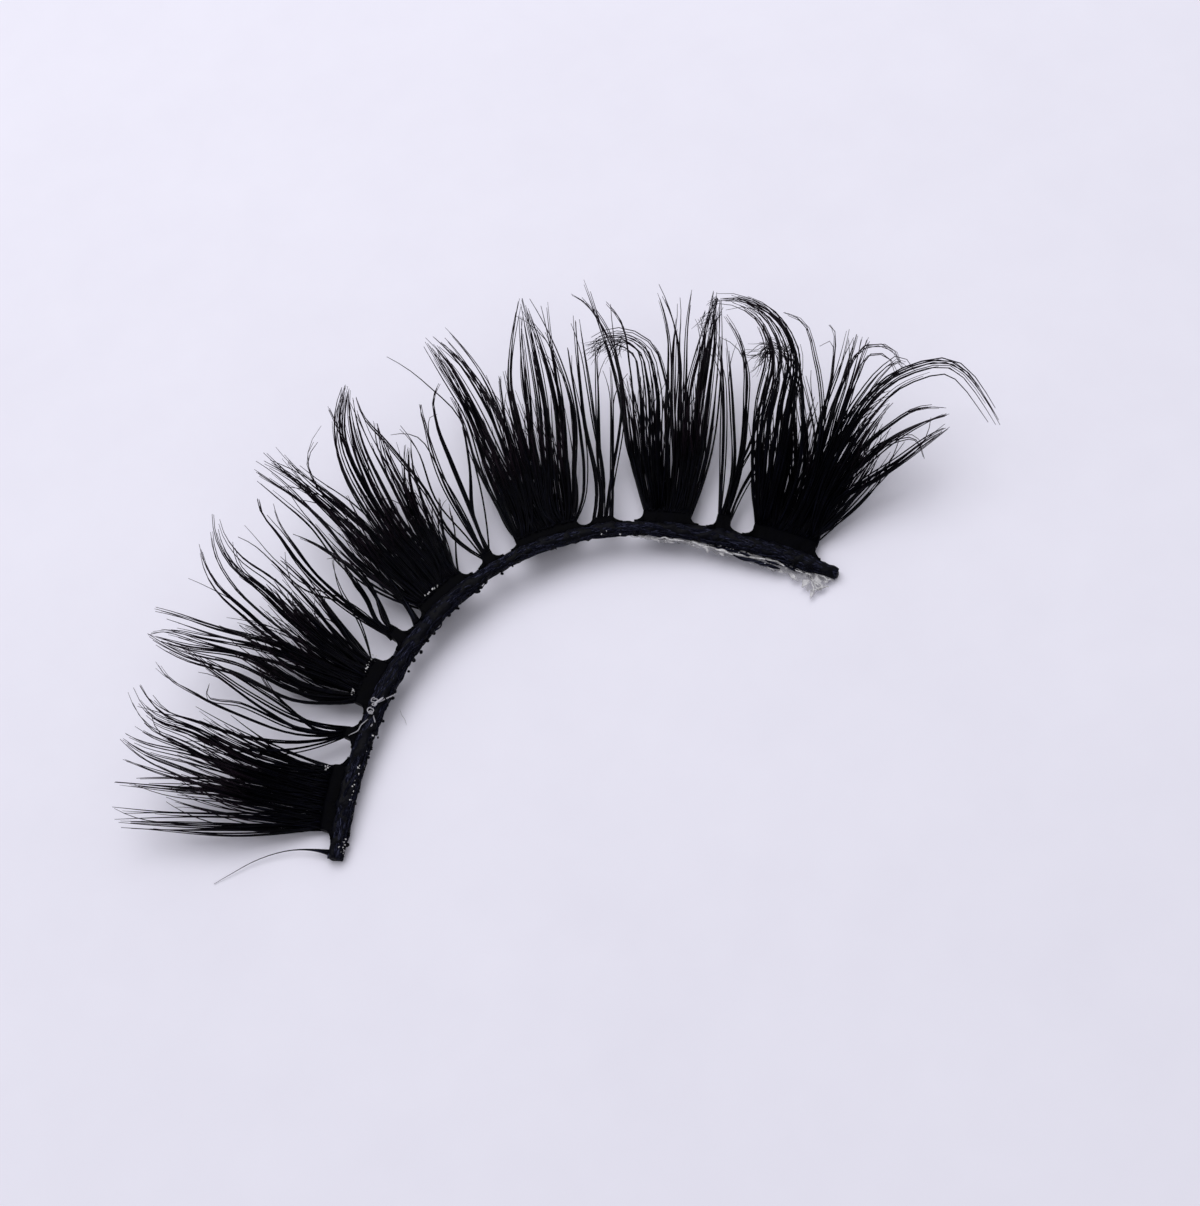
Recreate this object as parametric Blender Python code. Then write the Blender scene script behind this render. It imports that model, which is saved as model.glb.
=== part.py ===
"""False eyelash strip: a curved thread band, six glued clusters of lash hair,
five thin wisps between them, and the film of old lid glue under one end.

Frame: +X along the chord between the band's two ends, +Y towards the lash tips,
+Z up from the surface that the strip lies on. The origin is below the middle of
the whole strip, on that surface. Table values are in millimetres and degrees.
"""

import math
from collections import namedtuple

import bmesh
import bpy
from mathutils import Vector

MM = 0.001

# Band: plan curve y = sag * (1 - |x / half chord| ** power), arched off the surface
HALF_CHORD = 13.55
SAG = 8.57
PLAN_POWER = 2.2
END_HEIGHT = 0.30
CROWN_LIFT = 1.35
LID_FLAT = 2.0
BAND_STEPS_A_SIDE = 22
CURVE_SAMPLES = 800

BandSection = namedtuple("BandSection", "station outer inner thick")
BAND_SECTIONS = [
    BandSection(0.0, 0.34, 0.40, 0.60),
    BandSection(3.0, 0.38, 0.42, 0.66),
    BandSection(15.0, 0.34, 0.36, 0.62),
    BandSection(20.0, 0.32, 0.36, 0.60),
    BandSection(27.0, 0.42, 0.46, 0.70),
    BandSection(32.0, 0.42, 0.46, 0.66),
    BandSection(32.8, 0.30, 0.32, 0.54),
    BandSection(33.6, 0.28, 0.30, 0.50),
]
BAND_CHAMFER = 0.14

# Root blocks: the hairs' glued ends, with rounded webs of glue at both sides
SEAT_GAP = 0.08
WEB_RADIUS = 0.45
BLOCK_THICK_AT_BAND = 0.56
BLOCK_THICK_AT_HAIRS = 0.42
BLOCK_ROWS = 5
BLOCK_STEPS = 9
BLOCK_OVERHANG = 0.18

# Locks: tapered bundles of hair that leave the root block and curl up
LOCK_SIDES = 8
LOCK_SECTIONS = 9
HANDLE = 0.36
TIP_SHARE = 0.14
TAPER_POWER = 2.6
SWELL = 0.38
LOCK_FLATNESS = 0.50
ROOT_SINK = 0.30

# station and width lie along the band, reach is the plan distance from root to tip,
# lean turns that line from the band's outward normal (plus is towards the first end),
# start and end are the plan directions at root and tip, tip and belly are heights,
# and tuck draws the belly in under the tip
Lock = namedtuple("Lock", "station reach lean start end tip belly tuck width")
Bundle = namedtuple("Bundle", "name out first last dip locks")

BUNDLES = [
    Bundle("cluster_1", 0.95, 1.25, 4.25, 1.1, [
        Lock(1.55, 9.8, 5, 6, 4, 1.7, 1.3, 0.1, 0.62),
        Lock(2.00, 9.6, 1, 4, -2, 2.3, 1.3, 0.2, 0.72),
        Lock(2.70, 9.6, 0, 4, -6, 3.4, 1.4, 0.4, 0.86),
        Lock(3.30, 9.2, -7, -3, -14, 4.2, 1.4, 0.5, 0.86),
        Lock(3.90, 9.1, -8, -1, -20, 4.9, 1.5, 0.6, 0.70),
    ]),
    Bundle("wisp_1", 0.95, 5.55, 6.05, 0.7, [
        Lock(5.60, 8.4, 10, 4, 16, 4.4, 0.6, 0.5, 0.34),
        Lock(5.80, 8.0, 0, 4, -6, 5.1, 0.7, 0.6, 0.38),
        Lock(5.95, 7.4, -3, -10, 4, 4.9, 0.7, 0.6, 0.34),
    ]),
    Bundle("cluster_2", 1.15, 7.20, 9.40, -0.4, [
        Lock(7.50, 9.4, 6, -12, 22, 4.2, -0.1, 0.4, 0.74),
        Lock(7.90, 9.3, 5, -10, 18, 4.7, -0.1, 0.4, 0.74),
        Lock(8.30, 9.0, -16, 0, -34, 5.9, -0.2, 0.6, 0.80),
        Lock(8.80, 6.4, -22, -10, -34, 3.8, 0.0, 0.4, 0.76),
        Lock(9.05, 8.9, -15, 4, -34, 6.1, -0.2, 0.6, 0.70),
    ]),
    Bundle("wisp_2", 1.15, 10.55, 11.05, 0.0, [
        Lock(10.70, 7.7, -8, -6, -10, 5.7, 0.2, 0.6, 0.40),
        Lock(10.90, 6.9, -10, -8, -12, 5.7, 0.2, 0.6, 0.36),
    ]),
    Bundle("cluster_3", 0.90, 12.35, 14.85, -0.6, [
        Lock(12.70, 10.2, 3, -5, 12, 4.9, -0.4, 0.4, 0.76),
        Lock(13.20, 9.7, 6, -10, 24, 5.3, -0.4, 0.5, 0.80),
        Lock(13.70, 9.9, -6, -8, -4, 5.9, -0.5, 0.6, 0.84),
        Lock(14.10, 10.0, -13, 4, -44, 6.1, -0.5, 0.5, 0.84),
        Lock(14.50, 7.6, -18, -16, -20, 4.0, -0.2, 0.4, 0.66),
    ]),
    Bundle("wisp_3", 0.85, 16.00, 16.55, -0.2, [
        Lock(16.10, 7.6, -2, -10, 8, 5.0, 0.1, 0.6, 0.38),
        Lock(16.25, 7.6, -12, -8, -40, 5.5, 0.1, 0.4, 0.42),
        Lock(16.45, 8.1, -16, -19, -12, 5.5, 0.1, 0.6, 0.40),
    ]),
    Bundle("cluster_4", 0.80, 17.80, 20.75, -0.5, [
        Lock(18.05, 10.7, -7, -5, -8, 5.7, -0.4, 0.5, 0.72),
        Lock(18.55, 10.8, 4, -8, 20, 5.7, -0.4, 0.5, 0.84),
        Lock(19.20, 8.3, -7, -1, -14, 4.0, -0.3, 0.4, 0.90),
        Lock(19.85, 10.8, -3, -8, 4, 5.7, -0.4, 0.5, 0.88),
        Lock(20.45, 10.2, -9, -3, -16, 5.7, -0.4, 0.5, 0.70),
    ]),
    Bundle("wisp_4", 0.70, 21.50, 22.45, -0.1, [
        Lock(21.65, 10.1, -9, -14, -4, 5.7, 0.1, 0.6, 0.44),
        Lock(22.25, 10.7, 7, -22, 56, 5.9, 0.1, 0.4, 0.44),
    ]),
    Bundle("cluster_5", 1.05, 23.85, 26.05, -0.5, [
        Lock(24.15, 7.9, 15, 0, 62, 5.3, 0.4, 0.4, 0.76),
        Lock(24.70, 9.9, 5, -2, 18, 5.9, -0.2, 0.6, 0.84),
        Lock(25.25, 10.1, 1, 3, -2, 5.7, -0.2, 0.5, 0.84),
        Lock(25.75, 9.7, -2, 1, -8, 5.9, -0.2, 0.6, 0.76),
    ]),
    Bundle("wisp_5", 1.25, 27.25, 27.90, 0.5, [
        Lock(27.40, 8.2, 4, 6, 2, 4.7, 0.9, 0.5, 0.40),
        Lock(27.75, 6.8, -7, 2, -16, 3.6, 0.9, 0.4, 0.36),
    ]),
    Bundle("cluster_6", 1.20, 29.00, 32.05, 0.9, [
        Lock(29.35, 8.6, 27, -18, 112, 7.0, 5.0, -0.3, 0.50),
        Lock(29.80, 7.6, 24, 8, 74, 5.6, 2.2, 0.3, 0.80),
        Lock(30.35, 6.8, 11, 11, 11, 4.9, 1.8, 0.5, 0.86),
        Lock(30.80, 8.2, 11, -16, 76, 6.3, 3.0, 0.2, 0.66),
        Lock(31.05, 8.4, 1, -6, 14, 6.3, 2.2, 0.4, 0.78),
        Lock(31.25, 8.0, -13, -2, -30, 6.3, 2.2, 0.4, 0.78),
        Lock(31.45, 8.1, -19, -8, -34, 6.3, 2.6, 0.4, 0.74),
        Lock(31.60, 9.2, -54, -6, -124, 4.0, 7.4, -0.4, 0.46),
        Lock(31.70, 8.1, -35, -28, -45, 4.4, 2.0, 0.3, 0.60),
        Lock(31.85, 7.6, -38, -32, -45, 4.2, 1.8, 0.3, 0.56),
    ]),
]

# Glue film: a strip of dried lid glue under the inner edge, with a flap at the tail
FilmSection = namedtuple("FilmSection", "station width drop")
FILM_SECTIONS = [
    FilmSection(23.2, 0.10, 0.02),
    FilmSection(24.6, 0.22, 0.06),
    FilmSection(26.2, 0.20, 0.04),
    FilmSection(27.8, 0.42, 0.10),
    FilmSection(29.0, 0.36, 0.08),
    FilmSection(30.2, 0.52, 0.14),
    FilmSection(31.2, 0.44, 0.10),
    FilmSection(32.1, 0.70, 0.06),
    FilmSection(32.6, 1.15, 0.04),
    FilmSection(32.9, 0.90, 0.04),
    FilmSection(33.2, 0.40, 0.02),
]
FILM_THICK = 0.12
FILM_GAP = 0.06
FILM_STEPS = 34

BLACK_THREAD = (0.012, 0.012, 0.020, 1.0)
BLACK_HAIR = (0.006, 0.005, 0.008, 1.0)
GREY_FILM = (0.55, 0.54, 0.58, 1.0)


def plan_y(x):
    """Height of the plan curve over the chord."""
    share = min(1.0, abs(x / HALF_CHORD))
    return SAG * (1.0 - share ** PLAN_POWER)


def sample_band():
    """Distances along the band with the x of each, for looking stations up."""
    xs = [HALF_CHORD * (2.0 * i / CURVE_SAMPLES - 1.0) for i in range(CURVE_SAMPLES + 1)]
    distances = [0.0]
    for left, right in zip(xs, xs[1:]):
        step = math.hypot(right - left, plan_y(right) - plan_y(left))
        distances.append(distances[-1] + step)
    return xs, distances


BAND_X, BAND_DISTANCE = sample_band()
BAND_LENGTH = BAND_DISTANCE[-1]


def table_value(xs, ys, x):
    """Straight-line reading between the rows of a table."""
    if x <= xs[0]:
        return ys[0]
    for i in range(len(xs) - 1):
        if x <= xs[i + 1]:
            share = (x - xs[i]) / (xs[i + 1] - xs[i])
            return ys[i] + share * (ys[i + 1] - ys[i])
    return ys[-1]


def band_point(station):
    """Centre of the band at a distance along it from its first end."""
    x = table_value(BAND_DISTANCE, BAND_X, station)
    share = min(1.0, abs(x / HALF_CHORD))
    height = END_HEIGHT + CROWN_LIFT * (1.0 - share ** 2)
    return Vector((x, plan_y(x), height))


def band_outward(station):
    """Bearing, in degrees from +X, of the band's outward side."""
    reach = 0.05
    before = band_point(max(0.0, station - reach))
    after = band_point(min(BAND_LENGTH, station + reach))
    along = after - before
    return math.degrees(math.atan2(along.y, along.x)) + 90.0


def bearing(angle_deg):
    """Unit plan vector at an angle from +X."""
    angle = math.radians(angle_deg)
    return Vector((math.cos(angle), math.sin(angle), 0.0))


def sections_column(sections, name, station):
    """One named column of a section table, read at a station."""
    stations = [section.station for section in sections]
    values = [getattr(section, name) for section in sections]
    return table_value(stations, values, station)


def skin_between(bm, ring, next_ring):
    """Faces from each side of one ring to the same side of the next."""
    for i in range(len(ring)):
        bm.faces.new((ring[i - 1], ring[i], next_ring[i], next_ring[i - 1]))


def cap_round(bm, verts):
    """Close a flat ring with one face."""
    bm.faces.new(verts)


def cap_strip(bm, verts):
    """Close a long bent ring, whose second half runs back under its first."""
    half = len(verts) // 2
    for i in range(half - 1):
        bm.faces.new((verts[i], verts[i + 1], verts[-2 - i], verts[-1 - i]))


def loft(name, rings, cap):
    """A closed skin through rings of points in millimetres, with both ends capped."""
    bm = bmesh.new()
    built = [[bm.verts.new(point * MM) for point in ring] for ring in rings]
    for ring, next_ring in zip(built, built[1:]):
        skin_between(bm, ring, next_ring)
    cap(bm, built[0])
    cap(bm, built[-1])
    bmesh.ops.recalc_face_normals(bm, faces=bm.faces)
    mesh = bpy.data.meshes.new(name)
    bm.to_mesh(mesh)
    bm.free()
    thing = bpy.data.objects.new(name, mesh)
    bpy.context.scene.collection.objects.link(thing)
    return thing


def band_stations():
    """Stations along the band, with one long flat step across its crown."""
    side = BAND_LENGTH / 2.0 - LID_FLAT / 2.0
    first = [side * i / BAND_STEPS_A_SIDE for i in range(BAND_STEPS_A_SIDE + 1)]
    return first + [BAND_LENGTH - station for station in reversed(first)]


def band_ring(station):
    """The band's chamfered section at a station."""
    centre = band_point(station)
    out = bearing(band_outward(station))
    outer = sections_column(BAND_SECTIONS, "outer", station)
    inner = sections_column(BAND_SECTIONS, "inner", station)
    half = sections_column(BAND_SECTIONS, "thick", station) / 2.0
    cut = BAND_CHAMFER
    corners = [
        (outer, cut - half), (outer, half - cut), (outer - cut, half), (cut - inner, half),
        (-inner, half - cut), (-inner, cut - half), (cut - inner, -half), (outer - cut, -half),
    ]
    lift = max(0.0, half - centre.z)
    return [centre + out * across + Vector((0, 0, up + lift)) for across, up in corners]


def make_band(material):
    """The thread band that the hairs are glued to."""
    band = loft("band", [band_ring(station) for station in band_stations()], cap_round)
    band.data.materials.append(material)
    return band


def web_share(row_share):
    """Width of a glue web, from 1 at the band to 0 where its round is spent."""
    return 1.0 - math.sqrt(1.0 - (1.0 - min(1.0, row_share)) ** 2)


def block_ring(bundle, row):
    """One row of a root block, from one end to the other and back underneath."""
    share = row / (BLOCK_ROWS - 1)
    reach = bundle.out + BLOCK_OVERHANG
    web = WEB_RADIUS * web_share(share * reach / (2.0 * WEB_RADIUS))
    first = bundle.first - web
    last = bundle.last + web
    thick = BLOCK_THICK_AT_BAND + share * (BLOCK_THICK_AT_HAIRS - BLOCK_THICK_AT_BAND)
    top = []
    bottom = []
    for i in range(BLOCK_STEPS):
        station = first + (last - first) * i / (BLOCK_STEPS - 1)
        edge = sections_column(BAND_SECTIONS, "outer", station) + SEAT_GAP
        offset = edge + share * (reach - edge)
        centre = band_point(station) + bearing(band_outward(station)) * offset
        top.append(centre + Vector((0, 0, thick / 2.0)))
        bottom.append(centre - Vector((0, 0, thick / 2.0)))
    return top + bottom[::-1]


def lock_frame(bundle, lock):
    """The four control points of a lock's curve, in millimetres."""
    outward = band_outward(lock.station)
    root = band_point(lock.station) + bearing(outward) * bundle.out
    tip = root + bearing(outward + lock.lean) * lock.reach
    handle = HANDLE * lock.reach
    early = root + bearing(outward + lock.start) * handle
    late = tip - bearing(outward + lock.end) * handle * (1.0 - lock.tuck)
    tip.z = lock.tip
    early.z = bundle.dip
    late.z = lock.belly
    return root, early, late, tip


def lock_point(frame, share):
    """Point on a lock's curve, from its root at 0 to its tip at 1."""
    root, early, late, tip = frame
    rest = 1.0 - share
    return (rest ** 3 * root + 3.0 * rest ** 2 * share * early
            + 3.0 * rest * share ** 2 * late + share ** 3 * tip)


def lock_rings(bundle, lock):
    """Flattened round sections along a lock, from inside its root block."""
    frame = lock_frame(bundle, lock)
    start = (frame[1] - frame[0]).normalized()
    rings = []
    for i in range(LOCK_SECTIONS):
        share = i / (LOCK_SECTIONS - 1)
        nudge = 0.01
        ahead = lock_point(frame, min(1.0, share + nudge))
        behind = lock_point(frame, max(0.0, share - nudge))
        along = (ahead - behind).normalized()
        centre = lock_point(frame, share)
        if i == 0:
            centre = frame[0] - start * ROOT_SINK
            along = start
        across = along.cross(Vector((0, 0, 1))).normalized()
        up = across.cross(along)
        taper = 1.0 - (1.0 - TIP_SHARE) * share ** TAPER_POWER
        swell = 1.0 + SWELL * math.sin(math.pi * share)
        wide = lock.width / 2.0 * taper * swell
        high = wide * LOCK_FLATNESS
        if i == 0:
            high = min(high, BLOCK_THICK_AT_HAIRS * 0.4)
        ring = []
        for k in range(LOCK_SIDES):
            turn = 2.0 * math.pi * (k + 0.5) / LOCK_SIDES
            ring.append(centre + across * wide * math.cos(turn) + up * high * math.sin(turn))
        rings.append(ring)
    return rings


def make_bundle(bundle, material):
    """A root block with its locks fused to it."""
    rings = [block_ring(bundle, row) for row in range(BLOCK_ROWS)]
    block = loft(bundle.name, rings, cap_strip)
    block.data.materials.append(material)
    hairs = bpy.data.collections.new(bundle.name + "_locks")
    bpy.context.scene.collection.children.link(hairs)
    for number, lock in enumerate(bundle.locks, start=1):
        piece = loft(f"{bundle.name}_lock_{number}", lock_rings(bundle, lock), cap_round)
        piece.data.materials.append(material)
        piece.hide_render = True
        piece.display_type = "WIRE"
        bpy.context.scene.collection.objects.unlink(piece)
        hairs.objects.link(piece)
    fuse = block.modifiers.new("fuse_locks", "BOOLEAN")
    fuse.operation = "UNION"
    fuse.solver = "EXACT"
    fuse.operand_type = "COLLECTION"
    fuse.collection = hairs
    return block


def make_film(material):
    """The strip of dried glue along the inner edge of the band."""
    first = FILM_SECTIONS[0].station
    last = FILM_SECTIONS[-1].station
    rings = []
    for i in range(FILM_STEPS + 1):
        station = first + (last - first) * i / FILM_STEPS
        inward = -bearing(band_outward(station))
        edge = sections_column(BAND_SECTIONS, "inner", station) + FILM_GAP
        width = sections_column(FILM_SECTIONS, "width", station)
        drop = sections_column(FILM_SECTIONS, "drop", station)
        half = sections_column(BAND_SECTIONS, "thick", station) / 2.0
        near = band_point(station) + inward * edge
        near.z = max(near.z - half * 0.5, FILM_THICK / 2.0)
        far = near + inward * width
        far.z = max(near.z - drop, FILM_THICK / 2.0)
        rise = Vector((0, 0, FILM_THICK / 2.0))
        rings.append([near + rise, far + rise, far - rise, near - rise])
    film = loft("glue_film", rings, cap_round)
    film.data.materials.append(material)
    return film


def make_material(name, colour, roughness, alpha=1.0):
    """A Principled material with one colour."""
    material = bpy.data.materials.new(name)
    material.use_nodes = True
    shader = material.node_tree.nodes["Principled BSDF"]
    shader.inputs["Base Color"].default_value = colour
    shader.inputs["Roughness"].default_value = roughness
    shader.inputs["Metallic"].default_value = 0.0
    shader.inputs["Alpha"].default_value = alpha
    return material


def seat_on_origin(pieces):
    """Move every piece so that the origin is below the middle of the whole strip."""
    bpy.context.view_layer.update()
    graph = bpy.context.evaluated_depsgraph_get()
    points = []
    for piece in pieces:
        mesh = piece.evaluated_get(graph).to_mesh()
        points.extend(vertex.co.copy() for vertex in mesh.vertices)
        piece.evaluated_get(graph).to_mesh_clear()
    low = [min(point[axis] for point in points) for axis in range(3)]
    high = [max(point[axis] for point in points) for axis in range(3)]
    shift = Vector((-(low[0] + high[0]) / 2.0, -(low[1] + high[1]) / 2.0, -low[2]))
    seat = bpy.data.objects.new("strip", None)
    for thing in bpy.data.objects:
        if thing.type == "MESH":
            thing.parent = seat
    bpy.context.scene.collection.objects.link(seat)
    seat.location = shift


def build():
    """Clear the scene and make the strip."""
    for thing in list(bpy.data.objects):
        bpy.data.objects.remove(thing)
    pieces = [make_band(make_material("black_thread", BLACK_THREAD, 0.55))]
    for bundle in BUNDLES:
        hair = make_material(bundle.name + "_hair", BLACK_HAIR, 0.35)
        pieces.append(make_bundle(bundle, hair))
    pieces.append(make_film(make_material("glue_film", GREY_FILM, 0.25, 0.45)))
    seat_on_origin(pieces)


build()
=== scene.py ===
import math
from collections import namedtuple

import bmesh
import bpy
import numpy as np
from mathutils import Matrix, Vector, noise


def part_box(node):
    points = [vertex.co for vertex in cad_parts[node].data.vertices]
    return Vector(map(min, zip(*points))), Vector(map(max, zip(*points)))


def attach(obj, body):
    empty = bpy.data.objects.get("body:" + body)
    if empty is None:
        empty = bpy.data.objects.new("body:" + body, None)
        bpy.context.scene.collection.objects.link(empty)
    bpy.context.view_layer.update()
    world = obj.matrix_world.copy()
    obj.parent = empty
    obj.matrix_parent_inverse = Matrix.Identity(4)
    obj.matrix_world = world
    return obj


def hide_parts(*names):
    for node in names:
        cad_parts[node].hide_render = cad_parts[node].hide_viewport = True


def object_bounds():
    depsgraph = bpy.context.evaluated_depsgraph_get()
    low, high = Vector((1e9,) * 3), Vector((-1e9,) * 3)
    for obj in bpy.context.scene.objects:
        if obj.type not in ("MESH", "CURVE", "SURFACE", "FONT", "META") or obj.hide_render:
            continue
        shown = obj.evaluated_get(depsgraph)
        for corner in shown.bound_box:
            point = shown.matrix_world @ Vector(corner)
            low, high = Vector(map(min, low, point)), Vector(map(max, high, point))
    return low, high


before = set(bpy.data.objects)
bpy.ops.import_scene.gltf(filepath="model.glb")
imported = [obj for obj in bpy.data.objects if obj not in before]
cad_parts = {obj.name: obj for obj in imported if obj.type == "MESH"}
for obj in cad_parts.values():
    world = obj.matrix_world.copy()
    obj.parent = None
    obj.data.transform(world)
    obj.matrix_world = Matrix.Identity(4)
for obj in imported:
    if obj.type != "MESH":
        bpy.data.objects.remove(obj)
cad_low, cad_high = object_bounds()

# The table top: a plain pale sheet under the strip, very slightly uneven. Its cloudy tone
# comes from a shader group that the thread, the hairs, the glue and the lint use too.
MM = 0.001
PAPER_DARK = (0.805, 0.790, 0.902, 1.0)
PAPER_LIGHT = (0.838, 0.824, 0.936, 1.0)
PAPER_SIZE = 1.2


def add_node(tree, kind, **inputs):
    """A new node with some of its input sockets set, underscores standing for spaces."""
    node = tree.nodes.new(kind)
    for name, value in inputs.items():
        node.inputs[name.replace("_", " ")].default_value = value
    return node


def add_sockets(group, way, **kinds):
    """New sockets on a shader group's interface, a name and a kind for each."""
    for name, kind in kinds.items():
        group.interface.new_socket(name, in_out=way, socket_type="NodeSocket" + kind)


def make_cloudy_group():
    """Shader group: broad and fine noise give a colour, a roughness and a height."""
    group = bpy.data.node_groups.new("cloudy_surface", "ShaderNodeTree")
    add_sockets(group, "INPUT", Vector="Vector", Scale="Float", Dark="Color", Light="Color",
                Smooth="Float", Rough="Float")
    add_sockets(group, "OUTPUT", Color="Color", Roughness="Float", Height="Float")
    given = group.nodes.new("NodeGroupInput")
    result = group.nodes.new("NodeGroupOutput")
    broad = add_node(group, "ShaderNodeTexNoise", Detail=3.0, Roughness=0.55)
    finer = add_node(group, "ShaderNodeMath")
    finer.operation = "MULTIPLY"
    finer.inputs[1].default_value = 5.3
    fine = add_node(group, "ShaderNodeTexNoise", Detail=2.0, Roughness=0.6)
    blend = add_node(group, "ShaderNodeMix", Factor=0.35)
    spread = add_node(group, "ShaderNodeMapRange", From_Min=0.32, From_Max=0.68)
    colour = group.nodes.new("ShaderNodeMix")
    colour.data_type = "RGBA"
    gloss = group.nodes.new("ShaderNodeMix")
    link = group.links.new
    link(given.outputs["Vector"], broad.inputs["Vector"])
    link(given.outputs["Vector"], fine.inputs["Vector"])
    link(given.outputs["Scale"], broad.inputs["Scale"])
    link(given.outputs["Scale"], finer.inputs[0])
    link(finer.outputs[0], fine.inputs["Scale"])
    link(broad.outputs["Fac"], blend.inputs[2])
    link(fine.outputs["Fac"], blend.inputs[3])
    link(blend.outputs[0], spread.inputs["Value"])
    link(spread.outputs["Result"], colour.inputs["Factor"])
    link(given.outputs["Dark"], colour.inputs[6])
    link(given.outputs["Light"], colour.inputs[7])
    link(spread.outputs["Result"], gloss.inputs["Factor"])
    link(given.outputs["Smooth"], gloss.inputs[2])
    link(given.outputs["Rough"], gloss.inputs[3])
    link(colour.outputs[2], result.inputs["Color"])
    link(gloss.outputs[0], result.inputs["Roughness"])
    link(spread.outputs["Result"], result.inputs["Height"])
    return group


cloudy_group = make_cloudy_group()


def cloudy_material(name, scale, dark, light, smooth, rough, bump, shine, attribute=None):
    """A material whose colour, gloss and bump (mm) come from the cloudy group.

    Its pattern follows the piece's own attribute where it has one, or else its place.
    """
    material = bpy.data.materials.new(name)
    material.use_nodes = True
    tree = material.node_tree
    shader = tree.nodes["Principled BSDF"]
    shader.inputs["Specular IOR Level"].default_value = shine
    cloudy = tree.nodes.new("ShaderNodeGroup")
    cloudy.node_tree = cloudy_group
    values = {"Scale": scale, "Dark": dark, "Light": light, "Smooth": smooth, "Rough": rough}
    for socket, value in values.items():
        cloudy.inputs[socket].default_value = value
    if attribute:
        place = tree.nodes.new("ShaderNodeAttribute")
        place.attribute_name = attribute
        tree.links.new(place.outputs["Vector"], cloudy.inputs["Vector"])
    else:
        place = tree.nodes.new("ShaderNodeTexCoord")
        tree.links.new(place.outputs["Object"], cloudy.inputs["Vector"])
    relief = add_node(tree, "ShaderNodeBump", Strength=1.0, Distance=bump * MM)
    tree.links.new(cloudy.outputs["Color"], shader.inputs["Base Color"])
    tree.links.new(cloudy.outputs["Roughness"], shader.inputs["Roughness"])
    tree.links.new(cloudy.outputs["Height"], relief.inputs["Height"])
    tree.links.new(relief.outputs["Normal"], shader.inputs["Normal"])
    return material


paper_mesh = bpy.data.meshes.new("paper")
paper_bm = bmesh.new()
bmesh.ops.create_grid(paper_bm, x_segments=1, y_segments=1, size=PAPER_SIZE / 2.0)
paper_bm.to_mesh(paper_mesh)
paper_bm.free()
paper = bpy.data.objects.new("paper", paper_mesh)
bpy.context.scene.collection.objects.link(paper)
paper.location = (0.0, 0.0, cad_low[2])
paper_mesh.materials.append(cloudy_material(
    "plain_paper", 60.0, PAPER_DARK, PAPER_LIGHT, 0.80, 0.92, 0.01, 0.1))

# The light: a soft lamp high behind the lash tips, so that the raised band drops a close
# dark shade to its inner side and the paper dims towards the viewer, a weak broad lamp to
# the right, and an even pale sky.
Lamp = namedtuple("Lamp", "name place size power")
LAMPS = [
    Lamp("key_lamp", (-0.01, 0.10, 0.22), 0.23, 0.325),
    Lamp("side_lamp", (0.20, 0.16, 0.26), 0.24, 0.14),
]
SKY_COLOUR = (0.985, 0.985, 1.0, 1.0)
SKY_STRENGTH = 0.50

for row in LAMPS:
    lamp_data = bpy.data.lights.new(row.name, "AREA")
    lamp_data.shape = "DISK"
    lamp_data.size = row.size
    lamp_data.energy = row.power
    lamp = bpy.data.objects.new(row.name, lamp_data)
    bpy.context.scene.collection.objects.link(lamp)
    lamp.location = row.place
    lamp.rotation_euler = (-Vector(row.place)).to_track_quat("-Z", "Y").to_euler()

world = bpy.data.worlds.new("studio")
world.use_nodes = True
world.node_tree.nodes["Background"].inputs["Color"].default_value = SKY_COLOUR
world.node_tree.nodes["Background"].inputs["Strength"].default_value = SKY_STRENGTH
bpy.context.scene.world = world
bpy.context.scene.view_settings.view_transform = "Standard"

# The band's line: a flat curve over the chord between its two ends, arched off the table.
# Its sizes repeat the ones that the frame was made from, and its place comes from the
# frame's own band, which lies evenly about the middle of the arc.
HALF_CHORD = 13.55
SAG = 8.57
PLAN_POWER = 2.2
END_HEIGHT = 0.30
CROWN_LIFT = 1.35
CROWN_OUTER = 0.33
LID_FLAT_HALF = 0.98
CURVE_SAMPLES = 1200
SLOPE_REACH = 0.05


def plan_y(x):
    """Height of the band's plan curve over the chord, in millimetres."""
    share = np.minimum(1.0, np.abs(x / HALF_CHORD))
    return SAG * (1.0 - share ** PLAN_POWER)


band_low, band_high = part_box("band")
crown_y = plan_y(LID_FLAT_HALF) + CROWN_OUTER
strip_origin = Vector((
    (band_low.x + band_high.x) / 2.0,
    band_high.y - crown_y * MM,
    band_low.z,
))

curve_x = np.linspace(-HALF_CHORD, HALF_CHORD, CURVE_SAMPLES + 1)
curve_steps = np.hypot(np.diff(curve_x), np.diff(plan_y(curve_x)))
curve_distance = np.concatenate([[0.0], np.cumsum(curve_steps)])
BAND_LENGTH = float(curve_distance[-1])


def band_point(station):
    """Centre of the band at a distance along it, in the strip's millimetres."""
    x = np.interp(station, curve_distance, curve_x)
    share = np.abs(x / HALF_CHORD)
    height = END_HEIGHT + CROWN_LIFT * (1.0 - share ** 2)
    return np.stack([x, plan_y(x), height], axis=-1)


def band_outward(station):
    """Bearing, in radians from +X, of the band's outward side."""
    before = band_point(np.maximum(0.0, station - SLOPE_REACH))
    after = band_point(np.minimum(BAND_LENGTH, station + SLOPE_REACH))
    along = after - before
    return np.arctan2(along[..., 1], along[..., 0]) + math.pi / 2.0


def bearing(angle):
    """Unit plan vectors at angles in radians."""
    return np.stack([np.cos(angle), np.sin(angle), np.zeros_like(angle)], axis=-1)


def beside_band(station, out, rise):
    """A place beside the band: out from its centre line in plan, and above it."""
    place = band_point(station) + bearing(band_outward(station)) * np.asarray(out)[..., None]
    place[..., 2] += rise
    return place


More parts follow.
